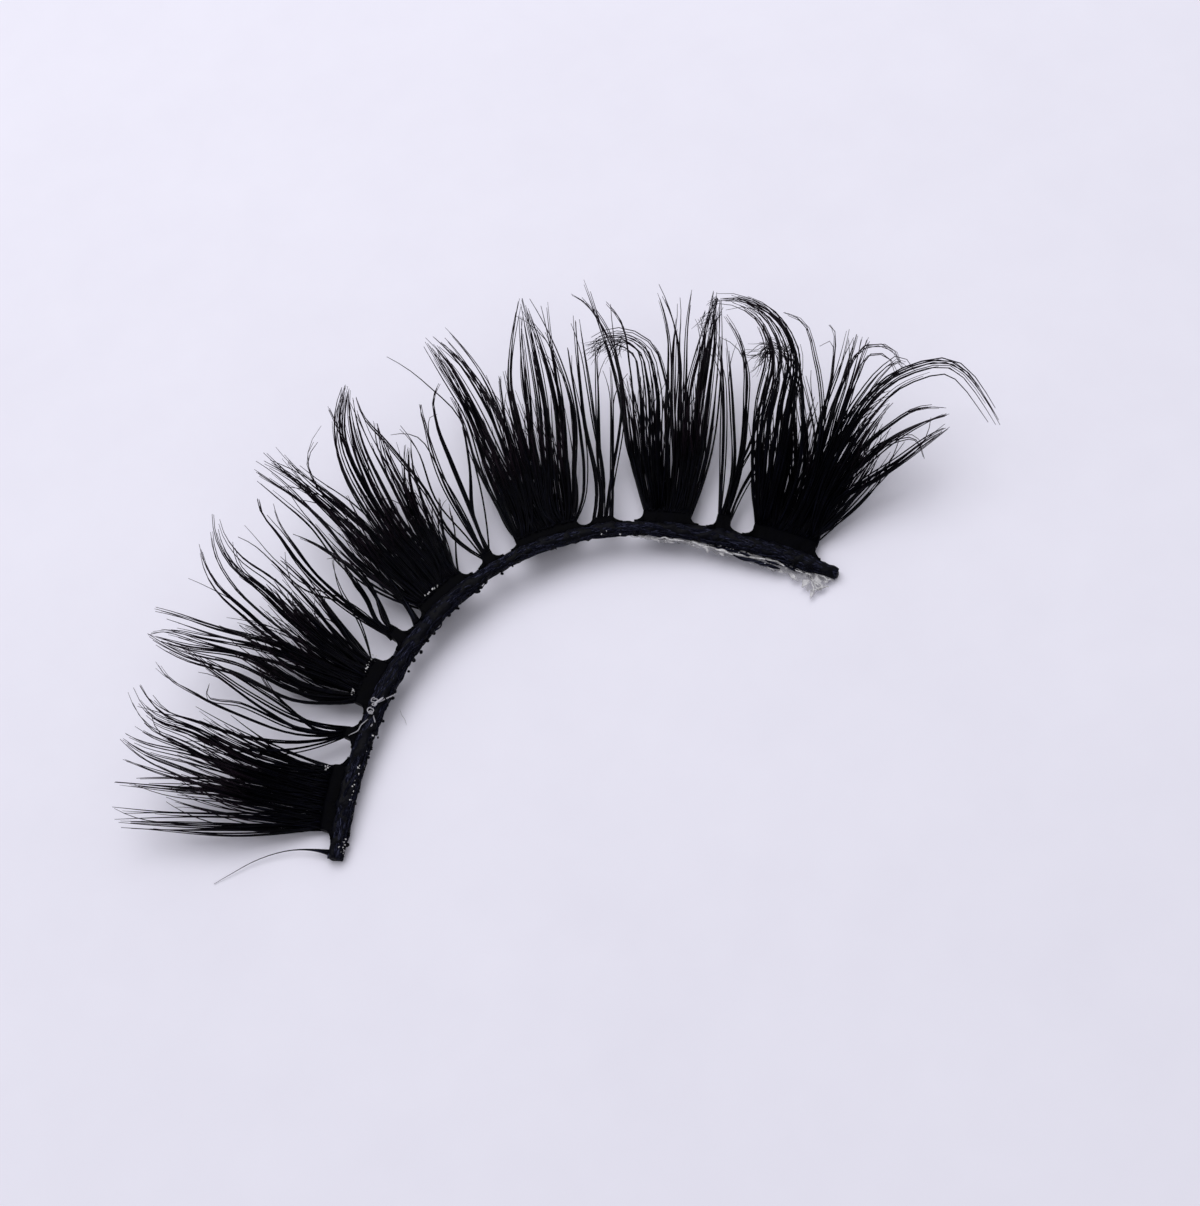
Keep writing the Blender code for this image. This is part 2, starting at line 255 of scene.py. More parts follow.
# The camera stands where the photograph was taken from, turned by the same three angles.
# It looks down steeply from the lid's side of the band, a hand's breadth away.
CAMERA_PLACE = Vector((-9.01, -30.23, 70.92))
CAMERA_AZIMUTH = math.radians(-19.14)
CAMERA_ELEVATION = math.radians(62.29)
CAMERA_ROLL = math.radians(-12.03)
CAMERA_LENS = 49.43
CAMERA_SENSOR = 36.0
PHOTO_WIDTH = 1200.0
PHOTO_HEIGHT = 1206.0
PHOTO_MIDDLE = np.array((PHOTO_WIDTH / 2.0, PHOTO_HEIGHT / 2.0))
PIXEL_SIZE = CAMERA_SENSOR / PHOTO_HEIGHT

camera_turn = (
    Matrix.Rotation(CAMERA_AZIMUTH, 4, "Z")
    @ Matrix.Rotation(math.pi / 2.0 - CAMERA_ELEVATION, 4, "X")
    @ Matrix.Rotation(CAMERA_ROLL, 4, "Z")
)
CAMERA_AXES = np.array(camera_turn.to_3x3())

camera_data = bpy.data.cameras.new("camera")
camera_data.lens = CAMERA_LENS
camera_data.sensor_width = CAMERA_SENSOR
camera_data.sensor_fit = "AUTO"
camera_data.clip_start = 0.002
camera_data.clip_end = 5.0
camera = bpy.data.objects.new("camera", camera_data)
bpy.context.scene.collection.objects.link(camera)
camera.matrix_world = Matrix.Translation(strip_origin + CAMERA_PLACE * MM) @ camera_turn
bpy.context.scene.camera = camera

# The band: plies of black polyester thread laid round each other in a long flat twist and
# soaked with black glue, so that a darker core shows between them. Its inner edge is
# rough, full and lumpy on the left half and trimmed thinner past the crown.
BandSection = namedtuple("BandSection", "station outer inner thick")
BAND_SECTIONS = [
    BandSection(0.0, 0.30, 0.40, 0.56),
    BandSection(2.5, 0.38, 0.46, 0.66),
    BandSection(9.5, 0.36, 0.56, 0.66),
    BandSection(15.2, 0.34, 0.52, 0.64),
    BandSection(15.7, 0.33, 0.34, 0.60),
    BandSection(20.0, 0.32, 0.38, 0.60),
    BandSection(23.0, 0.36, 0.34, 0.62),
    BandSection(27.0, 0.42, 0.46, 0.70),
    BandSection(32.0, 0.42, 0.44, 0.66),
    BandSection(32.8, 0.30, 0.32, 0.54),
    BandSection(33.4, 0.28, 0.30, 0.50),
]
PLY_COUNT = 10
PLY_PITCH = 8.5
PLY_RADIUS = 0.105
PLY_STEPS = 230
PLY_SIDES = 7
YARN_TWIST = 2.6
GRAIN_STRETCH = 0.35
CORE_SHARE = 0.92
CORE_SIDES = 20
CORE_ROUGH = 0.12
NOISE_SEED = 5


def unit_tube(sides, steps):
    """Points and faces of a straight closed tube of radius 1, a unit of Z to each step."""
    tube = bmesh.new()
    bmesh.ops.create_cone(
        tube, cap_ends=True, segments=sides, radius1=1.0, radius2=1.0, depth=steps)
    bmesh.ops.translate(tube, verts=tube.verts, vec=(0.0, 0.0, steps / 2.0))
    walls = [edge for edge in tube.edges if abs(edge.verts[0].co.z - edge.verts[1].co.z) > 0.5]
    bmesh.ops.subdivide_edges(tube, edges=walls, cuts=steps - 1)
    tube.verts.index_update()
    points = np.array([vert.co[:] for vert in tube.verts])
    faces = [[vert.index for vert in face.verts] for face in tube.faces]
    tube.free()
    return points, faces


def unit(vectors):
    """The same vectors with length 1."""
    return vectors / np.linalg.norm(vectors, axis=-1, keepdims=True)


def carried_frames(curves):
    """Side and up directions carried along each line without twisting."""
    along = unit(np.gradient(curves, axis=1))
    side = np.empty_like(along)
    side[:, 0] = unit(np.cross((0.0, 0.0, 1.0), along[:, 0]))
    for i in range(1, curves.shape[1]):
        carried = side[:, i - 1]
        lean = np.sum(carried * along[:, i], axis=-1, keepdims=True)
        side[:, i] = unit(carried - along[:, i] * lean)
    return side, np.cross(along, side)


def joined_object(name, shape_verts, shape_faces, attributes):
    """One object of many shapes, each with the same faces, in the strip's millimetres."""
    count, size, _ = shape_verts.shape
    verts = shape_verts.reshape(-1, 3) * MM + np.array(strip_origin)
    faces = [[index + i * size for index in face] for i in range(count) for face in shape_faces]
    mesh = bpy.data.meshes.new(name)
    mesh.from_pydata(verts.tolist(), [], faces)
    mesh.shade_smooth()
    for label, values in attributes.items():
        kind, field = ("FLOAT", "value") if values.ndim == 1 else ("FLOAT_VECTOR", "vector")
        attribute = mesh.attributes.new(label, kind, "POINT")
        attribute.data.foreach_set(field, values.reshape(-1).astype(np.float32))
    thing = bpy.data.objects.new(name, mesh)
    bpy.context.scene.collection.objects.link(thing)
    return thing


def bent_tubes(name, curves, radii, sides, rng, frames=None, twist=0.0, boxy=1.0):
    """The unit tube bent along each centre line, all as one object.

    radii holds a half width and a half height for each line and point. Each vertex keeps
    along, its share of the length, and grain, a vector that turns round the tube,
    stretches down it and starts at a random place for each tube.
    """
    count, points, _ = curves.shape
    ring, faces = unit_tube(sides, points - 1)
    step = np.rint(ring[:, 2]).astype(int)
    side, up = frames if frames else carried_frames(curves)
    shape = np.sign(ring[:, :2]) * np.abs(ring[:, :2]) ** boxy
    verts = (curves[:, step]
             + side[:, step] * (shape[:, 0] * radii[:, step, 0])[:, :, None]
             + up[:, step] * (shape[:, 1] * radii[:, step, 1])[:, :, None])
    length = np.linalg.norm(np.diff(curves, axis=1), axis=-1)
    length = np.concatenate([np.zeros((count, 1)), np.cumsum(length, axis=1)], axis=1)
    distance = length[:, step].reshape(-1)
    tone = np.repeat(rng.uniform(0.0, 40.0, count), len(ring))
    turn = np.tile(np.arctan2(ring[:, 1], ring[:, 0]), count) + twist * distance
    grain = np.stack([np.cos(turn), np.sin(turn), distance * GRAIN_STRETCH + tone], axis=-1)
    share = np.tile(ring[:, 2] / (points - 1), count)
    return joined_object(name, verts, faces, {"along": share, "grain": grain})


def section_value(sections, name, station):
    """One named column of a section table, read at stations."""
    return np.interp(station, [row.station for row in sections],
                     [getattr(row, name) for row in sections])


def wander(rng, lines, knots, size, points=PLY_STEPS + 1):
    """Slow random drift along lines: a few random values, joined smoothly."""
    values = rng.normal(0.0, size, (lines, knots))
    places = np.linspace(0.0, knots - 1.0, points)
    low = np.minimum(places.astype(int), knots - 2)
    share = places - low
    share = share * share * (3.0 - 2.0 * share)
    return values[:, low] * (1.0 - share) + values[:, low + 1] * share


def make_streak_group():
    """Shader group: paler streaks, where a stretched noise is above a given height."""
    group = bpy.data.node_groups.new("fine_streaks", "ShaderNodeTree")
    add_sockets(group, "INPUT", Vector="Vector", Scale="Float", Above="Float",
                Base="Color", Streak="Color")
    add_sockets(group, "OUTPUT", Color="Color", Mask="Float")
    given = group.nodes.new("NodeGroupInput")
    result = group.nodes.new("NodeGroupOutput")
    speckle = add_node(group, "ShaderNodeTexNoise", Detail=2.0, Roughness=0.5)
    top = add_node(group, "ShaderNodeMath")
    top.operation = "ADD"
    top.inputs[1].default_value = 0.07
    mask = group.nodes.new("ShaderNodeMapRange")
    colour = group.nodes.new("ShaderNodeMix")
    colour.data_type = "RGBA"
    link = group.links.new
    link(given.outputs["Vector"], speckle.inputs["Vector"])
    link(given.outputs["Scale"], speckle.inputs["Scale"])
    link(given.outputs["Above"], top.inputs[0])
    link(speckle.outputs["Fac"], mask.inputs["Value"])
    link(given.outputs["Above"], mask.inputs["From Min"])
    link(top.outputs[0], mask.inputs["From Max"])
    link(mask.outputs["Result"], colour.inputs["Factor"])
    link(given.outputs["Base"], colour.inputs[6])
    link(given.outputs["Streak"], colour.inputs[7])
    link(colour.outputs[2], result.inputs["Color"])
    link(mask.outputs["Result"], result.inputs["Mask"])
    return group


streak_group = make_streak_group()


def add_streaks(material, scale, above, streak, attribute=None):
    """Pale streaks over a material's colour; gives back the node, for its mask."""
    tree = material.node_tree
    base = tree.nodes["Principled BSDF"].inputs["Base Color"]
    streaks = tree.nodes.new("ShaderNodeGroup")
    streaks.node_tree = streak_group
    streaks.inputs["Scale"].default_value = scale
    streaks.inputs["Above"].default_value = above
    streaks.inputs["Streak"].default_value = streak
    if attribute:
        place = tree.nodes.new("ShaderNodeAttribute")
        place.attribute_name = attribute
        tree.links.new(place.outputs["Vector"], streaks.inputs["Vector"])
    else:
        place = tree.nodes.new("ShaderNodeTexCoord")
        tree.links.new(place.outputs["Object"], streaks.inputs["Vector"])
    tree.links.new(base.links[0].from_socket, streaks.inputs["Base"])
    tree.links.new(streaks.outputs["Color"], base)
    return streaks


thread_rng = np.random.default_rng(11)
noise.seed_set(NOISE_SEED)
ply_station = np.linspace(0.02, BAND_LENGTH - 0.02, PLY_STEPS + 1)
ply_out = bearing(band_outward(ply_station))
band_outer = section_value(BAND_SECTIONS, "outer", ply_station)
band_inner = section_value(BAND_SECTIONS, "inner", ply_station)
band_half = section_value(BAND_SECTIONS, "thick", ply_station) / 2.0
band_middle = band_point(ply_station) + ply_out * ((band_outer - band_inner) / 2.0)[:, None]
band_middle[:, 2] = np.maximum(band_middle[:, 2], band_half)

ply_number = np.arange(PLY_COUNT)[:, None]
ply_turn = 2.0 * math.pi * (ply_number / PLY_COUNT + ply_station / PLY_PITCH)
ply_turn = ply_turn + wander(thread_rng, PLY_COUNT, 24, 0.30)
ply_thick = PLY_RADIUS * (1.0 + wander(thread_rng, PLY_COUNT, 60, 0.22))
ply_wide = (band_outer + band_inner) / 2.0 - ply_thick + wander(thread_rng, PLY_COUNT, 50, 0.03)
ply_high = band_half - ply_thick * 0.8
ply_line = (band_middle
            + ply_out * (ply_wide * np.cos(ply_turn))[:, :, None]
            + np.array((0.0, 0.0, 1.0)) * (ply_high * np.sin(ply_turn))[:, :, None])
ply_radii = np.stack([ply_thick, ply_thick * 0.9], axis=-1)
thread = bent_tubes("band_thread", ply_line, ply_radii, PLY_SIDES, thread_rng, twist=YARN_TWIST)

core_radii = np.stack([(band_outer + band_inner) / 2.0, band_half], axis=-1) * CORE_SHARE
core_frames = (ply_out[None], np.broadcast_to((0.0, 0.0, 1.0), ply_out.shape)[None])
core = bent_tubes("band_core", band_middle[None], core_radii[None], CORE_SIDES, thread_rng,
                  frames=core_frames, boxy=0.75)
for vert in core.data.vertices:
    vert.co += noise.noise_vector(vert.co / MM * 3.1) * CORE_ROUGH * MM

thread_material = cloudy_material(
    "black_thread", 3.2, (0.0004, 0.0004, 0.0012, 1.0), (0.0045, 0.0050, 0.0135, 1.0),
    0.34, 0.66, 0.03, 0.035, attribute="grain")
# The thread's pale blue-grey streaks are painted sheen: glints of light along the plies, laid into
# the colour.
add_streaks(thread_material, 5.5, 0.57, (0.060, 0.064, 0.115, 1.0), attribute="grain")
core_material = cloudy_material(
    "glue_soaked_core", 2200.0, (0.0004, 0.0004, 0.0008, 1.0), (0.0030, 0.0032, 0.0070, 1.0),
    0.24, 0.50, 0.03, 0.05)
thread.data.materials.append(thread_material)
core.data.materials.append(core_material)
for piece in (thread, core):
    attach(piece, "root")
    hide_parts("band")

# The rough edge: cut hair ends and loose yarn that lie along the band's inner edge, with
# beads of black glue among them, thickest on the left half and along the right end.
FRAY_POINTS = 9
FRAY_SIDES = 5
FRAY_RADIUS = 0.036
FRAY_THICKEST = 1.3
BEAD_RINGS = (8, 5)
Stretch = namedtuple("Stretch", "first last frays beads")
STRETCHES = [
    Stretch(0.1, 15.3, 150, 210),
    Stretch(15.3, 23.2, 26, 34),
    Stretch(23.2, 32.6, 60, 70),
]


def scattered_beads(name, places, sizes, rng):
    """Small lumps, each the same rounded bead squeezed and turned at random."""
    bead = bmesh.new()
    bmesh.ops.create_uvsphere(bead, u_segments=BEAD_RINGS[0], v_segments=BEAD_RINGS[1], radius=1.0)
    bead.verts.index_update()
    ring = np.array([vert.co[:] for vert in bead.verts])
    faces = [[vert.index for vert in face.verts] for face in bead.faces]
    bead.free()
    squeezed = ring[None] * rng.uniform(0.45, 1.25, (len(places), 1, 3)) * sizes[:, None, None]
    turns = rng.uniform(0.0, 2.0 * math.pi, len(places))
    cosine, sine = np.cos(turns)[:, None], np.sin(turns)[:, None]
    verts = np.stack([
        squeezed[..., 0] * cosine - squeezed[..., 1] * sine,
        squeezed[..., 0] * sine + squeezed[..., 1] * cosine,
        squeezed[..., 2],
    ], axis=-1) + places[:, None]
    verts[..., 2] = np.maximum(verts[..., 2], 0.005)
    return joined_object(name, verts, faces, {})


fray_rng = np.random.default_rng(12)
fray_station = np.concatenate([
    fray_rng.uniform(row.first, row.last, row.frays) for row in STRETCHES])
fray_share = np.linspace(0.0, 1.0, FRAY_POINTS)
fray_run = fray_rng.uniform(0.5, 1.7, fray_station.shape)
fray_path = fray_station[:, None] + fray_run[:, None] * (fray_share - 0.5)
fray_path = np.clip(fray_path, 0.05, BAND_LENGTH - 0.3)
fray_inner = section_value(BAND_SECTIONS, "inner", fray_path)
fray_bulge = fray_rng.uniform(-0.12, 0.09, fray_station.shape)[:, None]
fray_offset = fray_inner - 0.05 + fray_bulge * np.sin(math.pi * fray_share)
fray_offset = fray_offset + wander(fray_rng, len(fray_station), 4, 0.025, FRAY_POINTS)
fray_rise = fray_rng.uniform(-0.16, 0.26, fray_station.shape)[:, None]
fray_line = beside_band(fray_path, -fray_offset, fray_rise)
fray_line[:, :, 2] = np.maximum(fray_line[:, :, 2], FRAY_RADIUS * FRAY_THICKEST)
fray_size = FRAY_RADIUS * fray_rng.uniform(0.6, FRAY_THICKEST, fray_station.shape)[:, None]
fray_size = fray_size * (1.0 - 0.6 * np.abs(2.0 * fray_share - 1.0) ** 4)
frays = bent_tubes("band_frays", fray_line, np.stack([fray_size, fray_size], axis=-1),
                   FRAY_SIDES, fray_rng, twist=YARN_TWIST)
frays.data.materials.append(thread_material)

bead_station = np.concatenate([
    fray_rng.uniform(row.first, row.last, row.beads) for row in STRETCHES])
bead_inner = section_value(BAND_SECTIONS, "inner", bead_station)
bead_place = beside_band(
    bead_station, 0.10 - bead_inner - fray_rng.exponential(0.06, bead_station.shape),
    fray_rng.uniform(-0.14, 0.24, bead_station.shape))
bead_size = 0.05 + fray_rng.exponential(0.028, bead_station.shape)
beads = scattered_beads("band_beads", bead_place, np.minimum(bead_size, 0.15), fray_rng)
beads.data.materials.append(core_material)
for piece in (frays, beads):
    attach(piece, "root")

# The root blocks: each bundle of hairs is dipped in black glue and set against the band.
# The glue has drawn up into a crisp glossy block with a rounded web at either side, and
# the paper shows through the notches left between two webs.
#
# A bundle's first and last are the stations of its block's edges, out is how far its
# hairs start from the band's line, dip the height that they first make for, and left,
# right, under and short give its undercoat: its leans at the two sides, its number of
# fibres and their length. Its locks stand side by side in the block in the order of
# their rows, each with a share of it for its count of fibres. A lock's spread is its
# width at the tip, tip the tip's height, and route the places that it passes on its way
# from the block, read in the photograph's pixels. Belly is the height that it
# makes for in the middle, where that isn't a little over the bundle's dip.
Bundle = namedtuple("Bundle", "name out first last dip left right under short locks")
Lock = namedtuple("Lock", "count spread tip route belly", defaults=(None,))

BUNDLES = [
    Bundle("cluster_1", 0.95, 1.25, 4.25, 0.9, 5, -8, 110, 6.5, [
        Lock(2, 0.1, 1.5, [(214, 831), (107, 829)]),
        Lock(12, 0.2, 1.5, [(250, 826), (170, 824), (105, 821)]),
        Lock(3, 0.3, 2.0, [(230, 818), (160, 816), (110, 812)]),
        Lock(18, 0.2, 2.5, [(240, 790), (180, 786), (113, 783)]),
        Lock(4, 0.2, 3.5, [(240, 792), (170, 778), (130, 762), (111, 753)]),
        Lock(16, 0.3, 3.5, [(245, 785), (180, 765), (140, 750), (119, 735)]),
        Lock(5, 0.3, 4.0, [(250, 775), (180, 745), (145, 730), (124, 714)]),
        Lock(20, 0.3, 4.5, [(255, 768), (190, 738), (150, 720), (129, 687)]),
        Lock(5, 0.5, 5.0, [(260, 760), (200, 730), (158, 708), (136, 677)]),
    ]),
    Bundle("wisp_1", 0.95, 5.55, 6.05, 0.8, 0, 0, 0, 0.0, [
        Lock(4, 0.6, 3.0, [(290, 745), (240, 742), (200, 730)]),
        Lock(5, 0.4, 4.0, [(300, 742), (238, 734), (205, 723), (165, 708), (147, 687)]),
        Lock(4, 0.5, 4.5, [(300, 732), (250, 715), (200, 693), (167, 672), (160, 661)]),
        Lock(3, 0.3, 3.5, [(300, 728), (240, 702), (206, 692), (209, 682)]),
        Lock(3, 0.9, 3.0, [(313, 730), (290, 713), (265, 690), (252, 668)]),
        Lock(8, 0.4, 4.0, [(310, 728), (270, 706), (228, 678), (200, 660)]),
        Lock(4, 0.6, 4.5, [(305, 722), (250, 697), (210, 672), (178, 650)]),
    ]),
    Bundle("cluster_2", 1.15, 7.20, 9.40, -0.2, 4, -20, 90, 6.0, [
        Lock(22, 0.2, 4.5, [(306, 693), (239, 662), (181, 649), (147, 634)]),
        Lock(12, 0.2, 4.5, [(289, 658), (206, 638), (157, 631), (147, 634)]),
        Lock(8, 0.3, 4.5, [(264, 644), (215, 632), (173, 618), (155, 613)]),
        Lock(12, 0.7, 3.5, [(290, 648), (245, 628), (217, 618)]),
        Lock(10, 0.2, 5.5, [(281, 639), (248, 611), (215, 580), (203, 555), (200, 531)]),
        Lock(3, 0.3, 5.5, [(310, 648), (260, 612), (233, 586), (215, 555), (211, 523)]),
        Lock(14, 0.2, 6.0, [(306, 629), (264, 589), (233, 563), (220, 541), (215, 513)]),
        Lock(14, 0.7, 4.5, [(335, 648), (297, 613), (281, 593), (265, 576)]),
        Lock(8, 0.8, 4.5, [(342, 640), (322, 613), (289, 576), (272, 558)]),
        Lock(2, 0.1, 5.0, [(355, 620), (339, 593), (332, 553)]),
        Lock(10, 0.6, 4.0, [(364, 656), (339, 623), (322, 603), (312, 580)]),
    ]),
    Bundle("wisp_2", 1.15, 10.55, 11.05, 0.2, 0, 0, 0, 0.0, [
        Lock(2, 0.2, 4.5, [(347, 599), (306, 583), (278, 560), (256, 543), (230, 533)]),
        Lock(7, 0.3, 5.5, [(356, 613), (306, 568), (281, 535), (261, 508), (259, 495)]),
        Lock(4, 0.3, 5.5, [(339, 596), (314, 573), (298, 551), (278, 520), (273, 498)]),
        Lock(4, 0.6, 4.5, [(356, 573), (331, 553), (306, 538), (289, 531)]),
        Lock(12, 0.4, 4.0, [(385, 626), (369, 596), (347, 566), (331, 546)]),
    ]),
    Bundle("cluster_3", 0.90, 12.35, 14.85, -0.4, 3, -14, 100, 6.5, [
        Lock(14, 0.4, 5.0, [(347, 565), (311, 521), (276, 492), (242, 467)]),
        Lock(12, 0.3, 5.0, [(365, 556), (320, 508), (281, 474), (255, 458)]),
        Lock(12, 0.3, 5.5, [(400, 578), (329, 508), (299, 481), (264, 449)]),
        Lock(14, 0.2, 5.5, [(405, 568), (347, 508), (311, 481), (273, 442)]),
        Lock(3, 0.2, 5.5, [(410, 565), (350, 515), (315, 481), (308, 460), (327, 431)]),
        Lock(4, 0.5, 5.5, [(400, 550), (355, 480), (335, 435), (318, 399)]),
        Lock(14, 0.1, 6.0, [(425, 580), (379, 521), (340, 440), (338, 417), (350, 377)]),
        Lock(8, 0.1, 6.0, [(428, 575), (374, 503), (343, 428), (347, 392), (351, 377)]),
        Lock(26, 0.3, 6.0, [(440, 575), (401, 521), (377, 476), (361, 440), (351, 387)]),
        Lock(14, 0.7, 5.0, [(445, 570), (410, 500), (388, 453), (378, 419)]),
        Lock(16, 0.4, 4.5, [(436, 556), (419, 512), (410, 476), (409, 440)]),
        Lock(12, 0.8, 3.0, [(452, 560), (445, 525), (440, 495)]),
    ]),
    Bundle("wisp_3", 0.85, 16.00, 16.55, 0.0, 0, 0, 0, 0.0, [
        Lock(4, 0.2, 5.5, [(453, 537), (424, 491), (386, 444), (361, 415), (354, 394)]),
        Lock(2, 0.4, 5.0, [(468, 535), (441, 500), (419, 444), (395, 415)]),
        Lock(1, 0.0, 5.0, [(470, 530), (440, 480), (413, 440), (390, 441)]),
        Lock(5, 0.3, 6.0, [(462, 520), (440, 480), (425, 430), (421, 400), (432, 390)]),
        Lock(5, 0.3, 6.0, [(468, 500), (452, 460), (437, 420), (434, 396), (441, 380)]),
        Lock(1, 0.0, 6.0, [(474, 472), (452, 410), (432, 390), (407, 368), (386, 355)]),
        Lock(4, 0.5, 5.5, [(475, 520), (470, 470), (455, 400)]),
    ]),
    Bundle("cluster_4", 0.80, 17.80, 20.75, -0.3, -2, -9, 110, 6.5, [
        Lock(12, 0.2, 5.5, [(508, 518), (487, 472), (470, 419), (443, 373), (420, 334)]),
        Lock(30, 0.3, 5.5, [(523, 510), (495, 443), (472, 396), (453, 365), (423, 334)]),
        Lock(6, 0.6, 5.5, [(525, 505), (500, 430), (475, 375), (438, 329)]),
        Lock(12, 0.6, 4.5, [(528, 510), (512, 455), (495, 407), (481, 375)]),
        Lock(20, 0.9, 4.5, [(535, 510), (522, 455), (510, 407), (503, 372)]),
        Lock(9, 0.3, 5.5, [(540, 500), (525, 440), (514, 384), (518, 329), (523, 304)]),
        Lock(26, 0.3, 5.5, [(552, 515), (545, 472), (539, 407), (531, 357), (521, 302)]),
        Lock(18, 0.3, 5.5, [(568, 510), (564, 472), (560, 415), (548, 363), (527, 304)]),
        Lock(4, 0.5, 5.5, [(570, 480), (564, 396), (558, 357), (546, 304)]),
        Lock(6, 0.3, 5.0, [(582, 500), (583, 472), (579, 434), (571, 382), (566, 348)]),
    ]),
    Bundle("wisp_4", 0.70, 21.50, 22.45, 0.1, 0, 0, 0, 0.0, [
        Lock(7, 0.4, 5.5, [(600, 501), (589, 414), (579, 334), (577, 316)]),
        Lock(5, 0.3, 5.0, [(602, 495), (598, 461), (597, 398), (597, 347)]),
        Lock(5, 0.3, 6.0, [(608, 493), (613, 382), (597, 331), (576, 300), (560, 294)]),
        Lock(4, 0.4, 4.5, [(614, 490), (617, 430), (614, 360)]),
    ]),
    Bundle("cluster_5", 1.05, 23.85, 26.05, -0.3, 8, -4, 100, 6.8, [
        Lock(4, 0.2, 6.0, [(624, 437), (614, 382), (600, 330), (585, 285)]),
        Lock(3, 0.2, 6.0, [(628, 440), (620, 380), (608, 335), (592, 311)]),
        Lock(3, 0.2, 6.0, [(634, 440), (628, 370), (618, 320), (600, 300)]),
        Lock(14, 0.6, 4.5, [(643, 490), (629, 414), (622, 372)]),
        Lock(20, 0.5, 5.0, [(652, 450), (649, 382), (640, 350), (622, 339), (590, 347)], 4.5),
        Lock(12, 0.7, 4.5, [(656, 477), (650, 414), (648, 375)]),
        Lock(10, 0.2, 6.0, [(672, 461), (670, 414), (672, 366), (670, 334), (656, 288)]),
        Lock(9, 0.3, 6.0, [(676, 470), (674, 400), (675, 334), (677, 318), (676, 288)]),
        Lock(3, 0.2, 6.0, [(682, 470), (684, 380), (686, 320), (692, 284)]),
        Lock(3, 0.4, 6.0, [(688, 460), (696, 380), (702, 330), (711, 289)]),
        Lock(9, 0.4, 5.5, [(693, 470), (699, 382), (704, 342), (694, 316)]),
        Lock(30, 0.3, 6.0, [(696, 461), (704, 398), (712, 342), (718, 294)]),
    ]),
    Bundle("wisp_5", 1.25, 27.25, 27.90, 0.6, 0, 0, 0, 0.0, [
        Lock(6, 0.3, 5.0, [(720, 495), (721, 414), (717, 331)]),
        Lock(5, 0.3, 5.0, [(731, 485), (732, 414), (723, 331)]),
        Lock(5, 0.3, 5.5, [(734, 461), (737, 398), (736, 347), (720, 316)]),
        Lock(4, 0.3, 5.0, [(738, 480), (747, 406), (748, 374), (734, 330)]),
        Lock(6, 0.6, 4.0, [(730, 495), (751, 445), (771, 398)]),
        Lock(5, 0.4, 3.0, [(740, 495), (759, 461), (774, 425)]),
    ]),
    Bundle("cluster_6", 1.20, 29.00, 32.05, 0.9, 16, -30, 150, 6.5, [
        Lock(38, 0.2, 5.5, [(768, 468), (776, 409), (784, 350), (764, 315), (740, 302),
                            (716, 301)], 6.0),
        Lock(34, 0.5, 5.0, [(768, 488), (774, 428), (782, 372), (776, 352), (757, 349)], 3.0),
        Lock(4, 0.3, 5.5, [(795, 490), (805, 428), (799, 359), (787, 330), (772, 312)], 4.0),
        Lock(34, 0.9, 4.5, [(795, 505), (802, 450), (799, 409), (795, 369)]),
        Lock(4, 0.3, 5.5, [(808, 490), (821, 401), (815, 359), (801, 320), (778, 312)], 4.0),
        Lock(4, 0.2, 5.0, [(812, 480), (825, 409), (833, 369), (830, 325), (811, 330)], 4.5),
        Lock(8, 0.4, 6.0, [(812, 485), (829, 416), (843, 373), (851, 331)], 2.0),
        Lock(8, 0.4, 6.0, [(815, 480), (839, 409), (851, 373), (861, 331)], 2.0),
        Lock(6, 0.4, 6.0, [(818, 485), (845, 410), (859, 365), (870, 337)], 2.0),
        Lock(6, 0.3, 5.0, [(829, 444), (851, 379), (868, 351), (886, 351), (900, 373)], 4.0),
        Lock(6, 0.3, 5.0, [(820, 480), (859, 399), (882, 369), (898, 357), (916, 373)], 4.0),
        Lock(18, 0.7, 4.5, [(815, 500), (839, 448), (868, 409), (890, 397)]),
        Lock(26, 0.5, 5.0, [(829, 478), (859, 432), (892, 397)]),
        Lock(12, 0.5, 3.5, [(829, 478), (908, 375), (947, 367), (987, 409), (1003, 438)], 6.5),
        Lock(6, 0.4, 4.0, [(822, 500), (851, 458), (888, 424), (918, 407), (949, 407)], 3.0),
        Lock(6, 0.4, 4.0, [(825, 505), (859, 468), (898, 436), (950, 414)], 2.5),
        Lock(5, 0.4, 3.5, [(822, 520), (851, 494), (898, 464), (938, 436), (953, 429)], 2.5),
        Lock(3, 0.5, 3.0, [(838, 490), (888, 440), (915, 435), (928, 458)], 3.0),
        Lock(6, 0.3, 3.5, [(835, 507), (878, 480), (928, 444), (949, 428)], 2.0),
    ]),
]
WEB_RADIUS = 0.42
BLOCK_HALF_AT_HAIRS = 0.21
BLOCK_HALF_AT_BAND = 0.26
BLOCK_BITE = 0.20
BLOCK_SIDES = 16
BLOCK_ROUGH = 0.02
WEB_STEPS = 7
FACE_STEPS = 14
CORNER = 0.05


def block_outline(bundle):
    """Stations across a root block, with how far its edge stands off the band at each."""
    arc = np.linspace(0.0, math.pi / 2.0, WEB_STEPS)
    web_station = WEB_RADIUS * (1.0 - np.sin(arc))
    web_reach = WEB_RADIUS * (1.0 - np.cos(arc))
    edge = float(section_value(BAND_SECTIONS, "outer", (bundle.first + bundle.last) / 2.0))
    full = bundle.out - edge
    face = np.linspace(bundle.first + CORNER, bundle.last - CORNER, FACE_STEPS)
    station = np.concatenate([
        bundle.first - web_station, [bundle.first + 0.01], face,
        [bundle.last - 0.01], bundle.last + web_station[::-1],
    ])
    reach = np.concatenate([
        web_reach, [full - CORNER], np.full(FACE_STEPS, full), [full - CORNER], web_reach[::-1],
    ])
    return station, reach


